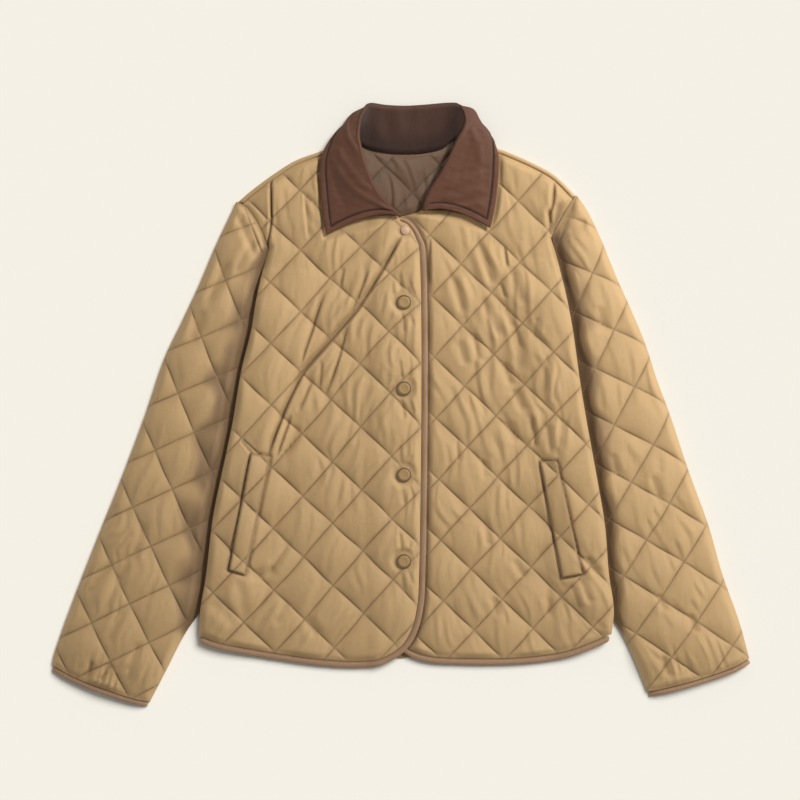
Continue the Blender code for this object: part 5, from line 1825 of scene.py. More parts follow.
# --- sleeves
@dataclass(frozen=True)
class FlatSleeve:
    """A one-piece quilted sleeve, laid flat, hollow from armhole to cuff."""

    name: str
    half: Half
    quilt: Quilt
    flat_size: tuple[float, float]
    wrinkles: Wrinkles = Wrinkles()
    steps: int = 31
    under_steps: int = 15
    step: float = 2.0
    seam: float = 6.0
    crown: float = 7.6
    crown_run: float = 70.0
    puff: float = 5.2
    edge_ease: float = 9.0
    edge_height: float = 2.4
    rim: float = 1.2
    roll: float = 11.7
    groove_run: float = 17.0
    seam_run: float = 7.0
    seam_rise: float = 2.6
    # Painted shade in the gap beside the body: its darkest share and its haze.
    gap_dark: float = 0.84
    gap_haze: float = 0.5
    cuff_band: float = 6.0
    floor_groove: float = 1.2
    floor_groove_width: float = 2.6
    floor_roll: float = 4.5
    end_ease: float = 60.0
    end_crown: float = 0.35
    head_room: float = 12.0
    seam_start: float = 30.0
    core_end: float = 1.6
    haze_end: float = 2.6
    haze_fade: float = 1.5
    shut_share: float = 0.68
    wall: float = 1.5
    hollow: tuple[float, float] = (2.0, 2.6)
    hollow_inset: float = 9.0
    stitches: Sewing = Sewing()
    under_stitches: Sewing = Sewing(sunk=0.1)
    cuff_stitches: Sewing = Sewing(pitch=3.0, length=2.0, radius=0.28)
    sewing_margin: float = 1.5
    under_margin: float = 4.0
    sewn_from_body: float = 1.0
    core_net: tuple[float, float] = (14.0, 7.0)
    core_step: float = 8.0
    core_from_ends: float = 7.0
    cuff_wall: float = 1.8
    cuff_step: float = 1.6
    cuff_least: float = 3.6
    cuff_beside: float = 2.5
    cuff_even: int = 8
    cuff_pucker: float = 0.22
    cuff_row: int = 4
    # Each row is across, depth and painted shade: painted shade in the stitched groove and on the tape's
    # inner side.
    cuff_profile: tuple[tuple[float, float, float], ...] = (
        (-0.82, 0, 0), (-0.4, -0.15, 0), (0.1, -0.15, 0), (0.5, -0.05, 0.1), (0.66, 0.16, 0.3),
        (0.8, 0, 0.1), (1, 0.3, 0.4), (1, 1, 1), (0, 1, 1), (-0.9, 1, 0.8), (-1, 0.6, 0.3),
        (-0.97, 0.25, 0))

    def outline(self) -> tuple[Array, dict[str, tuple[int, int]]]:
        """The sleeve's outline, anticlockwise.

        Returns:
            Its points, and the first and last point number of each named run.
        """
        half, step = self.half, self.step
        band = self.cuff_band + LAY.seam_gap
        armhole = offset(spline(half.armhole, step), -half.inward * LAY.seam_gap)
        shown = trimmed(spline(half.sleeve_shown, step), half.cuff_line, band, step)
        inner = resample(np.vstack([LAY.tucked_edge(half), shown]), step)
        cuff = offset(spline(half.cuff, step), -half.inward * band)
        outer = trimmed(spline(half.sleeve_outer, step), half.cuff_line, band, step)[::-1]
        runs = {"armhole": armhole, "inner": inner, "cuff": cuff, "outer": outer}
        if turned_area(np.vstack(list(runs.values()))) <= 0:
            runs = {name: runs[name][::-1] for name in ("outer", "cuff", "inner", "armhole")}
        spans, points, first = {}, [], 0
        for name, run in runs.items():
            spans[name] = (first, first + len(run) - 1)
            points.append(run[:-1])
            first += len(run) - 1
        return np.vstack(points), spans

    def beside_body(self, points: Array) -> Array:
        """How far points are outside the body, negative under it, in mm.

        Args:
            points: Flat points, one a row.

        Returns:
            One distance for each point.
        """
        line = np.vstack([self.half.armhole_line[:-1], self.half.edge_line])
        away = distance_to(points, line)
        body = np.vstack([line, [(0.0, -400.0), (0.0, 400.0)]])
        return np.where(inside(points, body), -away, away)

    def long_edges(self) -> Array:
        """The sleeve's two long edges, joined far away past the shoulder."""
        inner = np.vstack([LAY.tucked_edge(self.half), self.half.shown_line])
        return np.vstack([self.half.outer_line[::-1], [(0.0, 900.0)], inner])

    def top_height(self, points: Array, loop: Array) -> Array:
        """The sleeve's upper side.

        Args:
            points: Flat points, one a row.
            loop: The sleeve's outline.

        Returns:
            One height in mm for each point.
        """
        edge = distance_to(points, self.long_edges())
        to_cuff = distance_to(points, self.half.cuff_line)
        to_ends = np.minimum(to_cuff, distance_to(points, self.half.armhole_line) + self.head_room)
        towards = self.end_crown + (1 - self.end_crown) * smooth(to_ends / self.end_ease)
        crown = self.crown * rolled(edge, self.crown_run) * towards
        to_rim = distance_to(points, loop, closed=True)
        ease = eased_in(to_rim, self.edge_ease)
        puff = self.puff * self.quilt.fullness(points) * ease
        folds = self.wrinkles.rise(points, ease * self.quilt.freedom(points))
        base = self.edge_height + self.rim
        full = base + (self.seam + crown + puff + folds - base) * rolled(edge, self.roll)
        lift = LAY.lift(points)
        at_seam = smooth((points[:, 1] - self.half.side[0][1] + self.seam_start) / self.seam_start)
        low = np.maximum(lift - 1.0, self.hollow[1] + self.rim + self.seam_rise * at_seam)
        outside = self.beside_body(points)
        run = self.groove_run + (self.seam_run - self.groove_run) * at_seam
        shown = low + (full - low) * smooth(outside / run)
        return np.where(outside > 0, shown, np.minimum(low, lift - 1.0))

    def shade(self, points: Array) -> Array:
        """The painted shade in its seams and in the gap beside the body.

        Args:
            points: Flat points, one a row.

        Returns:
            One share for each point.
        """
        uneven = 1.55 - 0.85 * self.quilt.fullness(points) + 0.2 * ripple_noise(points, 42.0, 31)
        reach = self.half.gap_reach(points) * uneven
        outside = self.beside_body(points)
        core = self.gap_dark * smooth((self.core_end * reach - outside) / reach)
        haze = self.gap_haze * smooth((self.haze_end * reach - outside) / (self.haze_fade * reach))
        open_part = 1 - self.shut_share * smooth((points[:, 1] - self.half.side[0][1] + 4.0) / 22.0)
        gap = np.maximum(core, haze) * open_part
        return np.maximum.reduce([valley_shade(self.quilt, points), self.wrinkles.shade(points), gap])

    def bottom_height(self, points: Array) -> Array:
        """The sleeve's underside: flat, quilted, with rolled long edges.

        Args:
            points: Flat points, one a row.

        Returns:
            One height in mm for each point.
        """
        rolled_up = self.edge_height * (1 - rolled(distance_to(points, self.long_edges()), self.floor_roll))
        groove = self.floor_groove * bell(self.quilt.line_distance(points), self.floor_groove_width)
        return np.maximum(rolled_up, groove)

    def build(self) -> None:
        """Adds the sleeve, its stitches and its cuff binding."""
        loop, spans = self.outline()
        net = quilted_net(loop, self.quilt, self.steps, self.wrinkles.guides())
        top = np.column_stack([net.points, self.top_height(net.points, loop)])
        under = quilted_net(loop, self.quilt, self.under_steps, depths=(1.2, 3.0, 5.0))
        bottom = np.column_stack([under.points, self.bottom_height(under.points)])
        verts, faces = self.hollow_wall(loop, spans, (top, net), (bottom, under))
        shades = [self.shade(net.points), valley_shade(self.quilt, under.points)]
        shades.append(np.zeros(len(verts) - len(top) - len(bottom)))
        piece = make_piece("quilted_" + self.name, verts, faces, SHELL, {"valley": np.concatenate(shades)})
        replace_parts(piece, self.name)
        runs = laid_on(self.quilt.seams(loop, self.sewing_margin), top, net.faces)
        shown = [run[self.beside_body(run[:, :2]) > self.sewn_from_body] for run in runs]
        below = laid_on(self.quilt.seams(loop, self.under_margin), bottom, under.faces, from_above=False)
        self.stitches.sew("stitches_" + self.name, shown, SHELL_THREAD)
        self.under_stitches.sew("stitches_under_" + self.name, below, SHELL_THREAD)
        self.build_cuff(loop)

    def hollow_wall(self, loop: Array, spans: dict[str, tuple[int, int]], upper: tuple[Array, Net],
                    lower: tuple[Array, Net]) -> tuple[Array, list]:
        """Closes the outer skin round a thin hollow that is open at both ends.

        Args:
            loop: The sleeve's outline.
            spans: The numbers of its runs' points.
            upper: The upper skin's points and triangles.
            lower: The lower skin's points and triangles.

        Returns:
            The whole wall's points and faces.
        """
        (top, net), (bottom, under) = upper, lower
        count, below = len(loop), len(top)
        ring, open_runs = self.hollow_outline(loop, spans)
        core = net_over(ring, even_net(ring, *self.core_net))
        ceiling = np.maximum(self.top_height(core.points, loop) - self.wall - 1.2, self.hollow[1])
        ground = np.full(len(ceiling), self.hollow[0])
        shut = np.arange(len(ceiling)) < core.rim
        for (start, end), _ in open_runs:
            shut[start + 1:end] = False
        ceiling[shut] = sum(self.hollow) / 2
        up = np.arange(len(ceiling)) + below + len(bottom)
        down = np.where(shut, up, up[-1] + np.cumsum(~shut))
        faces = [tuple(f) for f in net.faces] + [tuple(f[::-1] + below) for f in under.faces]
        faces += [tuple(up[f[::-1]]) for f in core.faces] + [tuple(down[f]) for f in core.faces]
        walled = set()
        for (start, end), first in open_runs:
            for k, i in zip(range(start, end), range(first, first + end - start)):
                j = (i + 1) % count
                faces.append((i, up[k], up[k + 1], j))
                faces.append((down[k], i + below, j + below, down[k + 1]))
                walled.add(i)
            before, last = (first - 1) % count, (first + end - start) % count
            after = (last + 1) % count
            faces.append((before, before + below, first + below, up[start], first))
            faces.append((last, up[end], last + below, after + below, after))
            walled.update((before, last))
        faces += [(i, i + below, (i + 1) % count + below, (i + 1) % count)
                  for i in range(count) if i not in walled]
        roof = np.column_stack([core.points, ceiling])
        floor = np.column_stack([core.points, ground])[~shut]
        return np.vstack([top, bottom, roof, floor]), faces

    def hollow_outline(self, loop: Array, spans: dict[str, tuple[int, int]]) -> tuple[Array, list]:
        """The hollow's outline, with the sleeve's own points at its two ends.

        Args:
            loop: The sleeve's outline.
            spans: The numbers of its runs' points.

        Returns:
            The hollow's outline, and for each open end its first and last
            point number there and the loop's number of that first point.
        """
        ends = np.vstack([loop[spans[name][0]:spans[name][1]] for name in ("armhole", "cuff")])
        points, open_runs, first = [], [], 0
        for name, (start, end) in spans.items():
            if name in ("armhole", "cuff"):
                part = loop[start + 3:end - 2]
                open_runs.append(((first, first + len(part) - 1), start + 3))
            else:
                part = offset(np.vstack([loop[start:end], loop[end % len(loop)]]), self.hollow_inset)
                to_ends = np.min(np.linalg.norm(part[:, None] - ends[None], axis=2), axis=1)
                part = resample(part[to_ends > self.core_from_ends], self.core_step)
            points.append(part)
            first += len(part)
        return np.vstack(points), open_runs

    def cuff_oval(self, level: Array, along: Array) -> Array:
        """The flattened oval that the cuff's tape runs round.

        Args:
            level: The height of the sleeve's upper side across the cuff.
            along: Where across the cuff that is, in mm.

        Returns:
            Its points: how far across the cuff and how high.
        """
        kernel = np.hanning(2 * self.cuff_even + 1)
        level = np.convolve(np.pad(level, self.cuff_even, mode="edge"), kernel / kernel.sum(), mode="valid")
        level = np.maximum(level, self.edge_height + self.cuff_least)
        share = np.linspace(-1, 1, len(along))
        upper = self.edge_height + (level - self.edge_height) * np.sqrt(1 - share ** 8)
        lower = self.edge_height * (1 - np.sqrt(1 - share ** 12))
        oval = np.vstack([np.column_stack([along, upper]), np.column_stack([along, lower])[-2:0:-1]])
        return resample(np.vstack([oval, oval[:1]]), self.cuff_step)[:-1]

    def build_cuff(self, loop: Array) -> None:
        """Adds the binding round the cuff, a flattened ring of tape.

        Args:
            loop: The sleeve's outline.
        """
        half = self.half
        middle = offset(spline(half.cuff, self.step), -half.inward * self.cuff_band / 2)
        run = resample(middle, self.cuff_step)
        normal = left_normal(run) * -half.inward
        along = lengths_along(run)
        beside = run + normal * (self.cuff_band / 2 + self.cuff_beside)
        oval = self.cuff_oval(self.top_height(beside, loop), along)
        inward = -left_normal(oval, closed=True)
        reach = self.cuff_band / 2 - LAY.seam_gap
        pucker = self.cuff_pucker * ripple_noise(oval * (1.0, 0.2), 7.0, 11)
        rings = []
        for across, deep, _ in self.cuff_profile:
            depth = self.cuff_wall * deep + pucker * (1.0 - deep)
            places = oval + inward * np.maximum(depth, -0.3)[:, None]
            centre = read_at(places[:, 0], along, run)
            out = read_at(places[:, 0], along, normal)
            rings.append(np.column_stack([centre + out * across * reach, places[:, 1]]))
        rings = np.stack(rings, axis=1)
        shade = np.tile([dark for _, _, dark in self.cuff_profile], len(rings))
        verts, faces = ribbon_tube(rings, closed=True)
        name = "cuff_tape_" + self.name.split("_")[1]
        piece = make_piece(name, verts, faces, BINDING, {"valley": shade})
        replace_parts(piece, "binding_cuff_" + self.name.split("_")[1])
        around = length_of(rings[:, 0])
        row = np.vstack([rings[:, self.cuff_row], rings[:1, self.cuff_row]])
        self.cuff_stitches.sew("stitches_" + name, [row], TAPE_THREAD)


# --- bindings and the lining
@dataclass(frozen=True)
class EdgeTape:
    """Binding tape folded round a long edge and stitched down."""

    name: str
    node: str
    height: float
    rests_on: str
    step: float = 1.6
    end_round: float = 6.0
    end_blunt: float = 0.5
    taper: float = 0.0
    taper_run: float = 60.0
    turn_in: float = 1.4
    softness: float = 0.10
    pucker: float = 0.16
    edge_pucker: float = 0.18
    end_height: float = 0.3
    centre: float = 0.75
    stitch_column: int = 11
    stitches: Sewing = Sewing(pitch=3.2, length=2.2, radius=0.3)
    # Each row is across, height and painted shade: darker at the tape's edges and at its stitched groove.
    profile: tuple[tuple[float, float, float], ...] = (
        (1, 0, 1), (0.3, 0, 0.5), (0.1, 0.06, 0.3), (0.02, 0.25, 0.1), (0, 0.5, 0), (0.04, 0.74, 0),
        (0.14, 0.92, 0), (0.3, 1, 0), (0.5, 1, 0), (0.68, 0.93, 0.05), (0.78, 0.8, 0.1),
        (0.84, 0.66, 0.32), (0.9, 0.78, 0.1), (0.97, 0.72, 0.2), (1, 0.5, 0.5))

    def build(self, edge: Array, way: float, base: Height) -> None:
        """Adds the tape along an edge.

        Args:
            edge: The outer edge's line.
            way: 1 where the tape lies to the edge's left, -1 to its right.
            base: Gives the height of what it lies on.
        """
        run = resample(edge, self.step)
        normal = left_normal(run) * way
        under = np.maximum(base(run), base(run + normal * LAY.binding))
        soft = ripple_noise(run, 60.0, 21)
        pucker = ripple_noise(run, 6.5, 22) * (0.6 + 0.4 * ripple_noise(run, 45.0, 23))
        along = np.arange(len(run)) * self.step
        close = rolled(np.minimum(along, along[::-1]) + self.end_blunt, self.end_round)
        drawn_in = LAY.binding * self.taper * (1 - smooth(along[::-1] / self.taper_run))
        rings = []
        for across, high, _ in self.profile:
            wave = high * (self.softness * soft + self.pucker * pucker * (1 - abs(across - 0.6)))
            inset = LAY.binding * (self.centre + (across - self.centre) * close)
            inset += self.edge_pucker * pucker * (across < 0.1)
            inset += drawn_in * max(1 - across, 0.0)
            rise = self.height * high * (self.end_height + (1 - self.end_height) * close) + wave
            rings.append(np.column_stack([run + normal * inset[:, None], under + rise]))
        rings = np.stack(rings, axis=1)
        shade = np.tile([dark for _, _, dark in self.profile], len(rings))
        piece = make_piece(self.name, *ribbon_tube(rings), BINDING, {"valley": shade})
        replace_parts(piece, self.node)
        length = length_of(run)
        (LAY.binding + self.turn_in) * length * SQUARE_MM
        self.stitches.sew("stitches_" + self.node, [rings[:, self.stitch_column]], TAPE_THREAD)


@dataclass(frozen=True)
class NeckLining:
    """The quilted satin lining of the back, as far as the neck shows it."""

    quilt: Quilt
    step: float = 1.6
    steps: int = 33
    wall: float = 1.4
    puff: float = 2.8
    thinnest: float = 0.7
    gap: float = 1.6
    edge_ease: float = 8.0
    under_net: tuple[float, float] = (12.0, 6.0)
    sewing_margin: float = 1.5
    wrinkles: Wrinkles = Wrinkles()
    stitches: Sewing = Sewing(pitch=3.0, length=2.1, radius=0.26)

    def loop(self) -> Array:
        """The lining's outline, just inside the fronts' neck edges.

        Returns:
            The closed outline.
        """
        runs = [offset(spline(RIGHT.neck[2:][::-1], self.step), self.gap),
                offset(spline(LEFT.neck[1:], self.step), self.gap),
                offset(spline(NECK_BACK, self.step), LAY.seam_gap)]
        for half in (RIGHT, LEFT):
            runs = [trimmed(run, half.shoulder_line, self.gap, self.step) for run in runs]
        return chain(*runs)

    def build(self) -> None:
        """Adds the lining and its stitches."""
        loop = self.loop()
        net = quilted_net(loop, self.quilt, self.steps, depths=(0.7, 1.6, 2.8))
        base = LAY.lift(net.points) + LAY.back_wall + LAY.seam_gap
        ease = eased_in(distance_to(net.points, loop, closed=True), self.edge_ease)
        puff = self.puff * self.quilt.fullness(net.points) * ease
        puff += self.wrinkles.rise(net.points, ease * self.quilt.freedom(net.points))
        top = np.column_stack([net.points, base + np.maximum(self.wall + puff, self.thinnest)])
        under = net_over(loop, even_net(loop, *self.under_net))
        bottom = np.column_stack([under.points, LAY.lift(under.points) + LAY.back_wall + LAY.seam_gap])
        verts, faces = shell_of(top, net, under, bottom)
        valley = np.concatenate([valley_shade(self.quilt, net.points), np.zeros(len(bottom))])
        piece = make_piece("quilted_lining", verts, faces, LINING, {"valley": valley})
        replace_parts(piece, "lining_neck")
        runs = laid_on(self.quilt.seams(loop, self.sewing_margin), top, net.faces)
        self.stitches.sew("stitches_lining", runs, LINING_THREAD)


# --- collar
def eased(values: Array, at: Array) -> Array:
    """A smooth curve through evenly numbered values, read at any numbers.

    Args:
        values: What the curve passes through, one a row.
        at: Where to read it, in rows.

    Returns:
        One value for each number.
    """
    ends = np.concatenate([[2 * values[0] - values[1]], values, [2 * values[-1] - values[-2]]])
    i = np.clip(at.astype(int), 0, len(values) - 2)
    t = at - i
    p0, p1, p2, p3 = (ends[i + k] for k in range(4))
    return 0.5 * (2 * p1 + (p2 - p0) * t + (2 * p0 - 5 * p1 + 4 * p2 - p3) * t ** 2
                  + (3 * p1 - p0 - 3 * p2 + p3) * t ** 3)


@dataclass(frozen=True)
class CollarFold:
    """A soft wrinkle on the collar's fall.

    Places are station numbers along the band and shares from the fold (0) to
    the outer edge (1).
    """

    station: float
    share: float
    to_station: float
    to_share: float
    width: float
    rise: float


@dataclass(frozen=True)
class CollarBand:
    """The turn-down collar: one band of cloth folded over round the neck."""

    rows: int = 300
    end_rows: float = 0.6
    stand_points: int = 9
    bend_points: int = 9
    fall_points: int = 40
    edge_steps: tuple[float, ...] = (0.0, 0.4, 0.9, 1.6, 2.6, 4.0, 5.4, 6.3, 6.9, 7.5, 8.1, 8.7, 9.6)
    wall: float = 2.4
    fold_radius: float = 1.5
    stitch_inset: float = 7.5
    groove_width: float = 1.4
    groove_depth: float = 0.8
    rim_rise: float = 0.35
    rim_run: float = 1.6
    edge_roll: float = 1.4
    edge_least: float = 0.35
    pucker: float = 0.14
    pucker_reach: tuple[float, float] = (7.0, 4.0)
    wrinkle_run: float = 12.0
    slack: float = 0.6
    rest_height: float = 0.1
    end_share: float = 0.04
    # Painted shade: in the topstitched groove, and inside the stand at the back, darker at its corners.
    stitch_dark: float = 0.9
    stand_dark: tuple[float, float, float] = (0.58, 0.3, 0.32)
    stand_darkest: float = 0.92
    back_end: float = 17.0
    dark_corners: tuple[tuple[float, float], ...] = ((8.3, 1.1), (13.8, 1.0))
    station_length: float = 16.0
    fall_length: float = 62.0
    flat_size: tuple[float, float] = (0.11, 0.42)
    flat_area: float = 0.034
    folds: tuple[CollarFold, ...] = ()
    stitches: Sewing = Sewing(pitch=3.0, length=2.1, radius=0.3)

    def section(self, row: dict[str, float]) -> Array:
        """The middle of the cloth from the neck seam over the fold to the edge.

        Args:
            row: One station's numbers.

        Returns:
            Points in space, in order.
        """
        neck, fold, turn, edge = (np.array([row[c + "x"], row[c + "y"], row[c + "z"]]) for c in "nfte")
        angle = math.radians(row["turn"])
        outward = turn[:2] - fold[:2]
        across = np.array([*(outward / np.linalg.norm(outward)), 0.0])
        up = np.array([0.0, 0.0, 1.0])
        to_fall = math.cos(angle) * across + math.sin(angle) * up
        into_fold = math.cos(angle) * up - math.sin(angle) * across
        centre = fold - into_fold * self.fold_radius
        turns = np.radians(np.linspace(-90, 90, self.bend_points))
        bend = [centre + self.fold_radius * (math.sin(t) * to_fall + math.cos(t) * into_fold)
                for t in turns]
        stand = [neck + (bend[0] - neck) * k / self.stand_points for k in range(self.stand_points)]
        control = 2 * turn - (bend[-1] + edge) / 2
        t = np.linspace(0, 1, 4 * self.fall_points)[:, None]
        curve = (1 - t) ** 2 * edge + 2 * t * (1 - t) * control + t ** 2 * bend[-1]
        along = lengths_along(curve)
        rest = np.linspace(self.edge_steps[-1], along[-1], self.fall_points)[1:-1]
        from_edge = np.concatenate([self.edge_steps, rest])[::-1]
        return np.vstack([stand, bend, read_at(from_edge, along, curve)])

    def middle(self) -> tuple[Array, Array]:
        """The middle of the cloth.

        Returns:
            Its points in rows, and each row's station number.
        """
        table = np.array(COLLAR_STATIONS)
        share = np.linspace(0, 1, self.rows)
        share = share - self.end_rows * np.sin(2 * math.pi * share) / (2 * math.pi)
        at = share * (len(table) - 1)
        rows = np.stack([eased(table[:, k], at) for k in range(table.shape[1])], axis=1)
        return np.array([self.section(dict(zip(COLLAR_COLUMNS, row))) for row in rows]), at

    def wrinkled(self, at: Array, share: Array) -> Array:
        """How far the soft wrinkles move the fall.

        Args:
            at: Each row's station number.
            share: Each point's share of the way from the fold to the edge.

        Returns:
            One height for each point.
        """
        place = np.stack([np.broadcast_to(at[:, None], share.shape) * self.station_length,
                          share * self.fall_length], axis=2)
        scale = np.array([self.station_length, self.fall_length])
        total = np.zeros(share.shape)
        for fold in self.folds:
            start = np.array([fold.station, fold.share]) * scale
            way = np.array([fold.to_station, fold.to_share]) * scale - start
            t = np.clip((place - start) @ way / (way @ way), 0, 1)
            past = np.linalg.norm(place - start - t[..., None] * way, axis=2)
            total += fold.rise * bell(past, fold.width)
        return total

    def measured(self, grid: Array) -> tuple[Array, Array, Array]:
        """Measures the band along its cloth.

        Args:
            grid: The middle of the cloth, in rows.

        Returns:
            Each point's distance from the outer edge and from the nearer end,
            in mm, and its share of the way from the fold to the edge.
        """
        width = np.linalg.norm(np.diff(grid, axis=1), axis=2)
        from_edge = np.cumsum(np.pad(width, ((0, 0), (0, 1)))[:, ::-1], axis=1)[:, ::-1]
        bent = self.stand_points + self.bend_points - 1
        height = np.linalg.norm(np.diff(grid, axis=0), axis=2)
        from_start = np.cumsum(np.pad(height, ((1, 0), (0, 0))), axis=0)
        from_ends = np.minimum(from_start, from_start[-1] - from_start)
        return from_edge, from_ends, 1 - from_edge / from_edge[:, bent:bent + 1]

    def moved(self, grid: Array, at: Array, inset: Array, share: Array, on_fall: Array,
              rim: Array) -> Array:
        """How far wrinkles, puckers and the rim move the cloth.

        Args:
            grid: The middle of the cloth, in rows.
            at: Each row's station number.
            inset: How far each point is from the edge and ends, in mm.
            share: Its share of the way from the fold to the edge.
            on_fall: 1 on the fall, 0 on the stand.
            rim: 1 outside the topstitching, 0 inside it.

        Returns:
            One move in mm for each point.
        """
        flat = grid[:, :, :2].reshape(-1, 2)
        soft = 0.40 * ripple_noise(flat, 30.0, 41) + 0.20 * ripple_noise(flat, 10.0, 42)
        soft = soft.reshape(inset.shape)
        place, reach = self.pucker_reach
        pucker = ripple_noise(flat, 5.0, 43).reshape(inset.shape) * bell(inset - place, reach)
        wave = self.wrinkled(at, share) * smooth(inset / self.wrinkle_run)
        slack = self.slack * ripple_noise(flat * (1.0, 0.5), 26.0, 44).reshape(inset.shape)
        move = on_fall * (wave + soft + self.pucker * pucker + self.rim_rise * rim)
        return move + slack * smooth(-share * 3) * smooth((share + 1.05) * 3)

    def shade(self, at: Array, share: Array, stitched: Array) -> Array:
        """The painted shade in the stitched groove and inside the stand.

        Args:
            at: Each row's station number.
            share: Each point's share of the way from the fold to the edge.
            stitched: The painted shade in the groove of the topstitching.

        Returns:
            One share for each point.
        """
        corner = sum(bell(at - station, reach) for station, reach in self.dark_corners)
        least, lower, cornered = self.stand_dark
        stand = least + lower * smooth((-share - 0.62) / 0.45) + cornered * corner[:, None]
        at_back = smooth((self.back_end - at) / 1.6)[:, None] * smooth(-share * 5 - 0.1)
        return np.maximum(stitched, np.minimum(stand, self.stand_darkest) * at_back)

    def build(self) -> None:
        """Adds the collar with its wrinkles, rim and topstitching."""
        grid, at = self.middle()
        normal = np.cross(np.gradient(grid, axis=0), np.gradient(grid, axis=1))
        normal /= np.linalg.norm(normal, axis=2)[:, :, None]
        from_edge, from_ends, share = self.measured(grid)
        inset = np.minimum(from_edge, np.where(share >= 0, from_ends, np.inf))
        on_fall = smooth(share * 12)
        groove = bell(inset - self.stitch_inset, self.groove_width)
        rim = smooth((self.stitch_inset - inset) / self.rim_run)
        grid = grid + normal * self.moved(grid, at, inset, share, on_fall, rim)[:, :, None]
        edge = rolled(np.minimum(from_edge, from_ends), self.edge_roll)
        half = self.wall / 2 * np.maximum(edge, self.edge_least)
        upper = grid + normal * (half - self.groove_depth * on_fall * groove)[:, :, None]
        lower = grid - normal * half[:, :, None]
        verts, faces = ribbon_tube(np.concatenate([lower, upper[:, ::-1]], axis=1))
        verts[:, 2] = np.maximum(verts[:, 2], self.rest_height)
        shades = {"valley": self.shade(at, share, self.stitch_dark * groove * on_fall),
                  # A painted highlight lightens the raised rim outside the topstitching.
                  "painted_rim_highlight": rim * on_fall * (1 - groove)}
        shades = {name: np.concatenate([np.zeros(shade.shape), shade[:, ::-1]], axis=1).reshape(-1)
                  for name, shade in shades.items()}
        piece = make_piece("folded_collar", verts, faces, COLLAR, shades)
        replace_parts(piece, "collar")
        self.sew(upper, inset, share)

    def sew(self, upper: Array, inset: Array, share: Array) -> None:
        """Adds the topstitching parallel to the collar's edge and ends.

        Args:
            upper: The upper side's points, in rows.
            inset: How far each is from the edge and ends.
            share: Each point's share of the way from the fold to the edge.
        """
        rows, third = len(upper), len(upper) // 3
        lines = [crossing(upper[k][::-1], inset[k][::-1], self.stitch_inset) for k in range(rows)]
        runs = [[place for place in lines if place is not None]]
        for order in (np.arange(third), np.arange(rows - 1, rows - third, -1)):
            columns = [j for j in range(upper.shape[1]) if share[0, j] >= self.end_share]
            ends = [crossing(upper[order, j], inset[order, j], self.stitch_inset) for j in columns]
            runs.append([place for place in ends if place is not None])
        runs = [resample(np.array(run), 0.8) for run in runs]
        self.stitches.sew("stitches_collar", runs, COLLAR_THREAD)


def crossing(points: Array, values: Array, level: float) -> Array | None:
    """Finds where values along a line first rise past a level.

    Args:
        points: The line's points.
        values: One value for each point.
        level: The level that is passed.

    Returns:
        The place on the line, or None where the level isn't passed there.
    """
    past = np.flatnonzero(values > level)
    if not len(past) or past[0] == 0:
        return None
    k = past[0]
    t = (level - values[k - 1]) / max(values[k] - values[k - 1], 1e-6)
    return points[k - 1] * (1 - t) + points[k] * t


# --- whole jacket
def folded(*rows: tuple[float, ...]) -> tuple[Crease, ...]:
    """Makes creases from rows of x1, y1, x2, y2, width, depth, painted bottom shade, sharp and bow."""
    return tuple(Crease(*row) for row in rows)


def rippled(*rows: tuple[float, ...]) -> tuple[Ripples, ...]:
    """Makes patches from rows of x, y, two reaches, lean, pitch, height, seed and cover."""
    return tuple(Ripples(*row) for row in rows)


BACK = QuiltedBack(quilt=Quilt(4, 180, 35.6, 36.7, seed=9), flat_size=(0.51, 0.64))
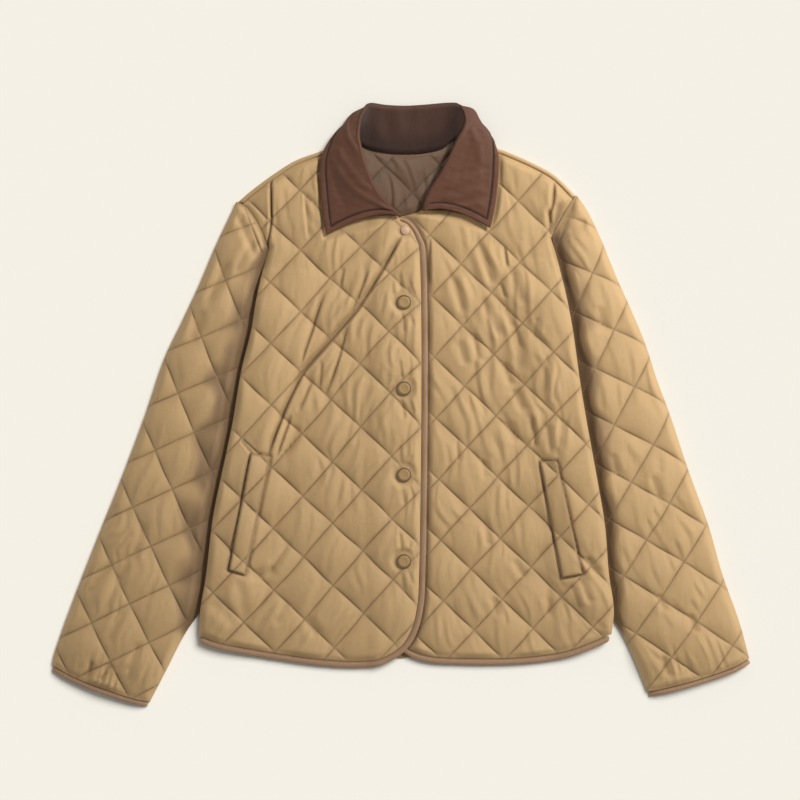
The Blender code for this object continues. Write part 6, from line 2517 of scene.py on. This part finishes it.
# The cloth puckers up and down from each snap cap.
SNAP_PUCKERS = tuple((SNAPS.x + a, y + b, SNAPS.x + c, y + d, w, h, 0.12, 0.5)
                     for _, y in SNAPS.places()
                     for a, b, c, d, w, h in ((-5, 34, -2.5, 10, 3.8, 1.2), (9, 24, 4, 10, 3.4, 0.8),
                                              (-2, -10, 0.5, -36, 3.8, 1.3),
                                              (6, -11, 12, -28, 3.2, 0.8)))
FRONT_RIGHT = QuiltedFront(
    name="front_right",
    half=RIGHT,
    over=True,
    quilt=Quilt(-120.5, 183.5, 36.5, 36.9, lean=0.013, seed=1,
                drifts=(Drift(0, -180, 100, 240, -4, 11.5), Drift(-15, 75, 80, 120, -3.5, 11))),
    welt=((-178.8, -57.6), (-156, -61.2), (-186, -202.8), (-205.2, -196.8)),
    flat_size=(0.28, 0.66),
    wrinkles=Wrinkles(
        creases=folded(
            (1, 203, -58, 106, 7, 4.8, 0.72, 0.75, 2), (-48, 118, -124, 31, 7, 4.8, 0.74, 0.75),
            (-114, 44, -158, -60, 6.5, 4.2, 0.66, 0.72, -3), (-92.5, 131, -119, 50, 4.8, 2.5, 0.45, 0.7),
            (-64, 95, -89.5, 13, 4.8, 2.6, 0.48, 0.7, 2), (-39, 160, -58, 112, 4.8, 2.4, 0.45, 0.7),
            (-68, 164, -72, 142, 3.4, 1.5, 0.3, 0.6), (-115, 252, -110, 200, 5, 2.4, 0.34, -0.6),
            (-104, 248, -101, 208, 4.6, 1.8, 0.15), (-155.5, 273, -155, 216, 2.2, 3, 0.85, 0.3),
            (-155, 221, -160, 186, 2.2, 2.4, 0.75, 0.3), (-94, 51, -97, 21, 3.6, 1.6, 0.25, 0.6),
            (-106, 29, -121, -6, 4.2, 2, 0.3, 0.6), (-132, -14, -148, -60, 4, 2.4, 0.35, 0.6),
            (-122, -26, -142, -64, 5, 1.8, 0.1), (-134, -166, -157, -201, 6.5, 2.4, 0.2, 0.4),
            (-150, -197, -178, -206, 5, 1.7, 0.15), (-191, -43, -179, -57, 3.2, 1.7, 0.35, -0.5),
            (-196, -208, -188, -256, 7, 1.7, 0.08, 0, 3), (-228, -236, -200, -262, 7, 1.5, 0.06, 0, 3),
            (-112, -254, -100, -276, 6, 1.8, 0.15), (-136, -238, -150, -262, 6, 1.8, 0.12), *SNAP_PUCKERS),
        ripples=rippled(
            (-52, 60, 52, 130, -15, 13.5, 1.5, 11, 0.62), (-62, -40, 62, 90, -12, 17, 1.3, 12, 0.5),
            (6, -20, 28, 240, -2, 11.5, 0.9, 13, 0.6), (-40, -190, 60, 70, -6, 14, 0.8, 15, 0.35),
            (-120, -262, 120, 46, -34, 17, 1.1, 17), (-108, 232, 60, 60, 2, 15, 1.2, 19),
            (-130, 90, 60, 110, -18, 16, 0.8, 20, 0.4), (-110, -90, 110, 240, -18, 22, 0.6, 21)),
    ),
)
FRONT_LEFT = QuiltedFront(
    name="front_left",
    half=LEFT,
    over=False,
    quilt=Quilt(108, 133.2, 35.6, 36.6, lean=0.036, seed=2),
    welt=((165.6, -67.2), (186, -67.2), (216, -201.6), (192, -206.4)),
    flat_size=(0.28, 0.66),
    mouth_dark=0.8,
    wrinkles=Wrinkles(
        creases=folded(
            (183, 265, 177.5, 226, 3.4, 3, 0.6, 0.5, 2), (177, 234, 180, 203, 3.4, 2.8, 0.6, 0.4),
            (192, 242, 182, 204, 8, 2.6, 0.55), (34.5, 198, 34.5, 144, 2.8, 2.4, 0.5, 0.5),
            (94, 195, 109, 145, 5, 2.9, 0.18), (123.8, 189, 127.4, 165, 3.4, 2.4, 0.4, 0.5),
            (134.8, 163, 144, 121, 5, 2.9, 0.22), (119, 146, 126, 128, 3.6, 1.8, 0.25, 0.5),
            (63, 154, 76, 110, 5.2, 2.6, 0.15), (99.5, 126, 117, 83, 5, 2.9, 0.22),
            (125, 115, 135, 92, 4.4, 2.2, 0.2), (140, 92, 142, 42, 6, 3, 0.15),
            (163, 104, 158, 80, 4, 1.8, 0.2), (87, 84, 94.5, 52, 4.6, 2.2, 0.18),
            (68, 77, 78, 48, 5, 2, 0.12), (123, 51, 131.5, 24, 4.6, 2.4, 0.2),
            (175.5, 58, 169.5, 11, 4.8, 2.4, 0.2), (136, 18, 146, -7, 4.8, 2.4, 0.2),
            (157, -12, 162, -51, 4.4, 2.6, 0.3, 0.4), (174.5, -22, 180, -58, 4.4, 2.8, 0.3),
            (194.5, -20, 187, -60, 4.4, 2.4, 0.25), (127, -20, 138.5, -45, 5, 2, 0.12),
            (221, -181, 235, -201, 4.4, 2.2, 0.25), (214, -206, 226.5, -236, 5, 2.4, 0.2),
            (203.5, -215, 213.5, -244, 4.6, 2, 0.15), (177, -219, 177, -253, 4.4, 1.8, 0.12),
            (109.5, -230, 115, -253, 4.4, 1.7, 0.12), (97, -65, 102, -88, 4, 1.7, 0.1),
            (67, -43, 69.5, -67, 3.6, 1.4, 0.1), (135, -185, 147.5, -206, 4.6, 2, 0.15),
            (101.5, -146, 104, -168, 4, 1.5, 0.1)),
        ripples=rippled(
            (126, 70, 60, 150, 15, 20.5, 2.1, 23, 0.78), (58, 90, 44, 150, 10, 17, 1.1, 25, 0.5),
            (100, -120, 96, 110, 8, 16, 1.1, 27, 0.5), (170, -10, 32, 70, 3, 13.5, 1.2, 28, 0.6),
            (120, -262, 130, 40, 16, 15, 1.1, 29), (120, 236, 60, 44, 10, 16, 1.3, 31),
            (222, -230, 36, 60, 34, 14, 1.1, 33)),
    ),
)
SLEEVE_RIGHT = FlatSleeve(
    name="sleeve_right",
    half=RIGHT,
    quilt=Quilt(-294, -54, 36.4, 36.6, lean=-0.394, bend=0.00024, seed=3),
    flat_size=(0.34, 0.66),
    gap_dark=0.72,
    gap_haze=0.66,
    wrinkles=Wrinkles(
        creases=folded(
            (-196, 230, -172, 176, 5, 2, 0.3), (-176, 196, -198, 158, 5, 2, 0.2),
            (-206, 170, -232, 118, 6, 2.2, 0.12), (-236, 112, -252, 76, 6, 1.8, 0.05),
            (-340, -118, -358, -146, 4.6, 2, 0.15), (-306, -142, -324, -190, 5.2, 1.8, 0.08),
            (-320, -150, -336, -188, 5, 1.5, 0.06), (-346, -188, -376, -228, 5.2, 1.8, 0.08),
            (-326, -190, -354, -246, 5.4, 1.9, 0.08), (-332, -244, -350, -284, 5.2, 1.7, 0.08),
            (-314, -284, -326, -330, 5.4, 1.7, 0.08), (-346, -310, -360, -330, 4.6, 2.4, 0.28),
            (-368, -306, -376, -328, 4.6, 2.2, 0.25)),
        ripples=rippled(
            (-356, -326, 70, 34, -24, 12, 1.3, 35, 0.6), (-340, -200, 50, 90, -24, 13, 1.1, 37, 0.45),
            (-300, -50, 90, 200, -22, 21, 1, 39, 0.45), (-220, 190, 50, 60, -28, 18, 1.2, 41)),
    ),
)
SLEEVE_LEFT = FlatSleeve(
    name="sleeve_left",
    half=LEFT,
    quilt=Quilt(300.5, -48, 37, 36.3, lean=0.300, bend=-0.00048, seed=4),
    flat_size=(0.34, 0.66),
    wrinkles=Wrinkles(
        creases=folded(
            (206, 240, 190, 210, 4.4, 1.8, 0.2), (222, 218, 202, 206, 5, 2, 0.12),
            (236, 118, 244, 86, 6, 1.8, 0.08), (216, 60, 222, 20, 6, 1.8, 0.08),
            (252, -58, 258, -82, 4.2, 1.8, 0.15), (300, -84, 310, -112, 5, 1.6, 0.08),
            (306, -226, 316, -246, 4.4, 1.7, 0.12), (312, -300, 322, -326, 4.6, 2, 0.15),
            (344, -250, 352, -272, 4.6, 1.9, 0.12)),
        ripples=rippled(
            (358, -314, 80, 36, 20, 13, 1.2, 43, 0.55), (320, -190, 60, 110, 26, 17, 1, 45, 0.45),
            (280, 40, 80, 180, 16, 21, 1, 47, 0.45), (222, 200, 40, 50, 28, 16, 1.1, 49)),
    ),
)
LINING_PIECE = NeckLining(
    quilt=Quilt(13.2, 253.2, 33, 33.6, seed=6),
    wrinkles=Wrinkles(ripples=rippled((4, 262, 70, 50, 24, 15, 0.8, 51))),
)
COLLAR_PIECE = CollarBand(
    folds=tuple(CollarFold(*row) for row in (
        (0.8, 0.10, 3.6, 0.55, 5, 1.5), (2.4, 0.12, 4.8, 0.5, 5, 1.2), (5, 0.10, 7, 0.5, 5, 1.2),
        (1.6, 0.62, 4.6, 0.78, 4, -0.7), (19.4, 0.22, 18.4, 0.62, 4.5, 1.2),
        (20.3, 0.26, 19.3, 0.70, 4.5, 1.3), (21.2, 0.30, 20.2, 0.76, 4.5, 1.2),
        (16.2, 0.2, 17.6, 0.6, 5, 1), (9, 0.3, 12.6, 0.5, 6, 0.8))),
)


@dataclass(frozen=True)
class Jacket:
    """The whole jacket, from the ground up."""

    step: float = 2.0
    back_tape_height: float = 3.2

    def build(self) -> None:
        """Adds every piece."""
        BACK.build()
        SLEEVE_RIGHT.build()
        SLEEVE_LEFT.build()
        FRONT_LEFT.build()
        FRONT_RIGHT.build()
        self.build_tapes()
        LINING_PIECE.build()
        COLLAR_PIECE.build()
        SNAPS.build()

    def build_tapes(self) -> None:
        """Adds the tape round the fronts' edges and the back's hem."""
        for half, side, over in ((RIGHT, "right", True), (LEFT, "left", False)):
            edge = half.hem_and_front(self.step)
            tape = EdgeTape("edge_tape_" + side, "binding_front_" + side, LAY.front_wall,
                            "quilted_front_" + side, taper=0.42)
            tape.build(edge, half.inward, lambda p, over=over: LAY.under_front(p, over))
        hem = offset(spline(HEM_BACK, self.step), LAY.back_hem - LAY.binding - LAY.seam_gap)[1:-1]
        EdgeTape("edge_tape_back", "binding_back", self.back_tape_height, "quilted_back").build(
            hem, 1, LAY.lift)


# --- studio
class Lit(Enum):
    """What a lamp shines on."""

    JACKET = "jacket"
    FLOOR = "floor"


@dataclass(frozen=True)
class Lamp:
    """One lamp: where it stands, how strong and how soft it is.

    Its strength is what it gives at the jacket's middle. A lamp that stands
    near fades across the jacket, one that has no distance doesn't.
    """

    name: str
    turn: float
    height: float
    strength: float
    softness: float
    distance: float = 0.0
    lights: Lit = Lit.JACKET
    colour: Colour = (1.0, 0.985, 0.95)

    def build(self, lit: bpy.types.Collection) -> None:
        """Hangs the lamp, aimed at the jacket, to light some pieces only.

        Args:
            lit: The pieces that it lights.
        """
        data = bpy.data.lights.new(self.name, "AREA" if self.distance else "SUN")
        away = self.distance or 2.0
        if self.distance:
            data.shape = "DISK"
            data.size = 2 * away * math.tan(math.radians(self.softness) / 2)
            data.energy = self.strength * math.pi * away ** 2
        else:
            data.energy = self.strength
            data.angle = math.radians(self.softness)
        data.color = self.colour
        lamp = bpy.data.objects.new(self.name, data)
        turn, height = math.radians(self.turn), math.radians(self.height)
        way = Vector((math.cos(turn) * math.cos(height), math.sin(turn) * math.cos(height),
                      math.sin(height)))
        lamp.location = way * away
        lamp.rotation_euler = way.to_track_quat("Z", "Y").to_euler()
        lamp.light_linking.receiver_collection = lit
        bpy.context.scene.collection.objects.link(lamp)


@dataclass(frozen=True)
class Studio:
    """The pale floor, the soft light and the camera above."""

    lens: float = 100.0
    sensor: float = 36.0
    frame_width: float = 0.96
    centre: tuple[float, float] = (-0.0012, 0.006)
    floor_size: float = 8.0
    floor_drop: float = 0.0004
    ambient: float = 0.28
    seen: float = 0.9
    sky_colour: Colour = (1.0, 0.985, 0.955)
    lamps: tuple[Lamp, ...] = (
        Lamp("key lamp", 40.0, 38.0, 3.0, 12.0, distance=1.9),
        Lamp("edge lamp", 0.0, 15.0, 1.25, 20.0),
        Lamp("rim lamp", 172.0, 22.0, 0.8, 22.0),
        Lamp("floor lamp", 48.0, 46.0, 3.17, 34.0, lights=Lit.FLOOR),
    )

    def build(self) -> None:
        """Adds the floor, the lamps, the sky and the camera."""
        scene = bpy.context.scene
        lit = {part: bpy.data.collections.new("lit " + part.value) for part in Lit}
        for piece in scene.objects:
            lit[Lit.JACKET].objects.link(piece)
        half = self.floor_size / 2
        mesh = bpy.data.meshes.new("floor")
        mesh.from_pydata([(-half, -half, 0), (half, -half, 0), (half, half, 0), (-half, half, 0)],
                         [], [(0, 1, 2, 3)])
        mesh.materials.append(FLOOR.material())
        floor = bpy.data.objects.new("floor", mesh)
        floor.location.z = -self.floor_drop
        scene.collection.objects.link(floor)
        lit[Lit.FLOOR].objects.link(floor)
        for lamp in self.lamps:
            lamp.build(lit[lamp.lights])
        scene.world = self.sky()
        scene.view_settings.view_transform = "Standard"
        data = bpy.data.cameras.new("camera")
        data.lens, data.sensor_width = self.lens, self.sensor
        camera = bpy.data.objects.new("camera", data)
        height = self.frame_width * self.lens / self.sensor
        camera.location = (self.centre[0], self.centre[1], height)
        scene.collection.objects.link(camera)
        scene.camera = camera
        LOG.info("studio: camera %.2f m above the floor", height)

    def sky(self) -> bpy.types.World:
        """The soft light from all round, as pale as the floor to the camera.

        Returns:
            The scene's world.
        """
        world = bpy.data.worlds.new("pale sky")
        world.use_nodes = True
        nodes, links = world.node_tree.nodes, world.node_tree.links
        seen, ray = nodes.new("ShaderNodeMix"), nodes.new("ShaderNodeLightPath")
        seen.inputs["A"].default_value, seen.inputs["B"].default_value = self.ambient, self.seen
        links.new(ray.outputs["Is Camera Ray"], seen.inputs["Factor"])
        nodes["Background"].inputs["Color"].default_value = (*self.sky_colour, 1.0)
        links.new(seen.outputs["Result"], nodes["Background"].inputs["Strength"])
        return world


def main() -> None:
    """Builds the jacket and its studio."""
    logging.basicConfig(level=logging.INFO, format="%(message)s")
    Jacket().build()
    Studio().build()


if __name__ == "__main__":
    main()
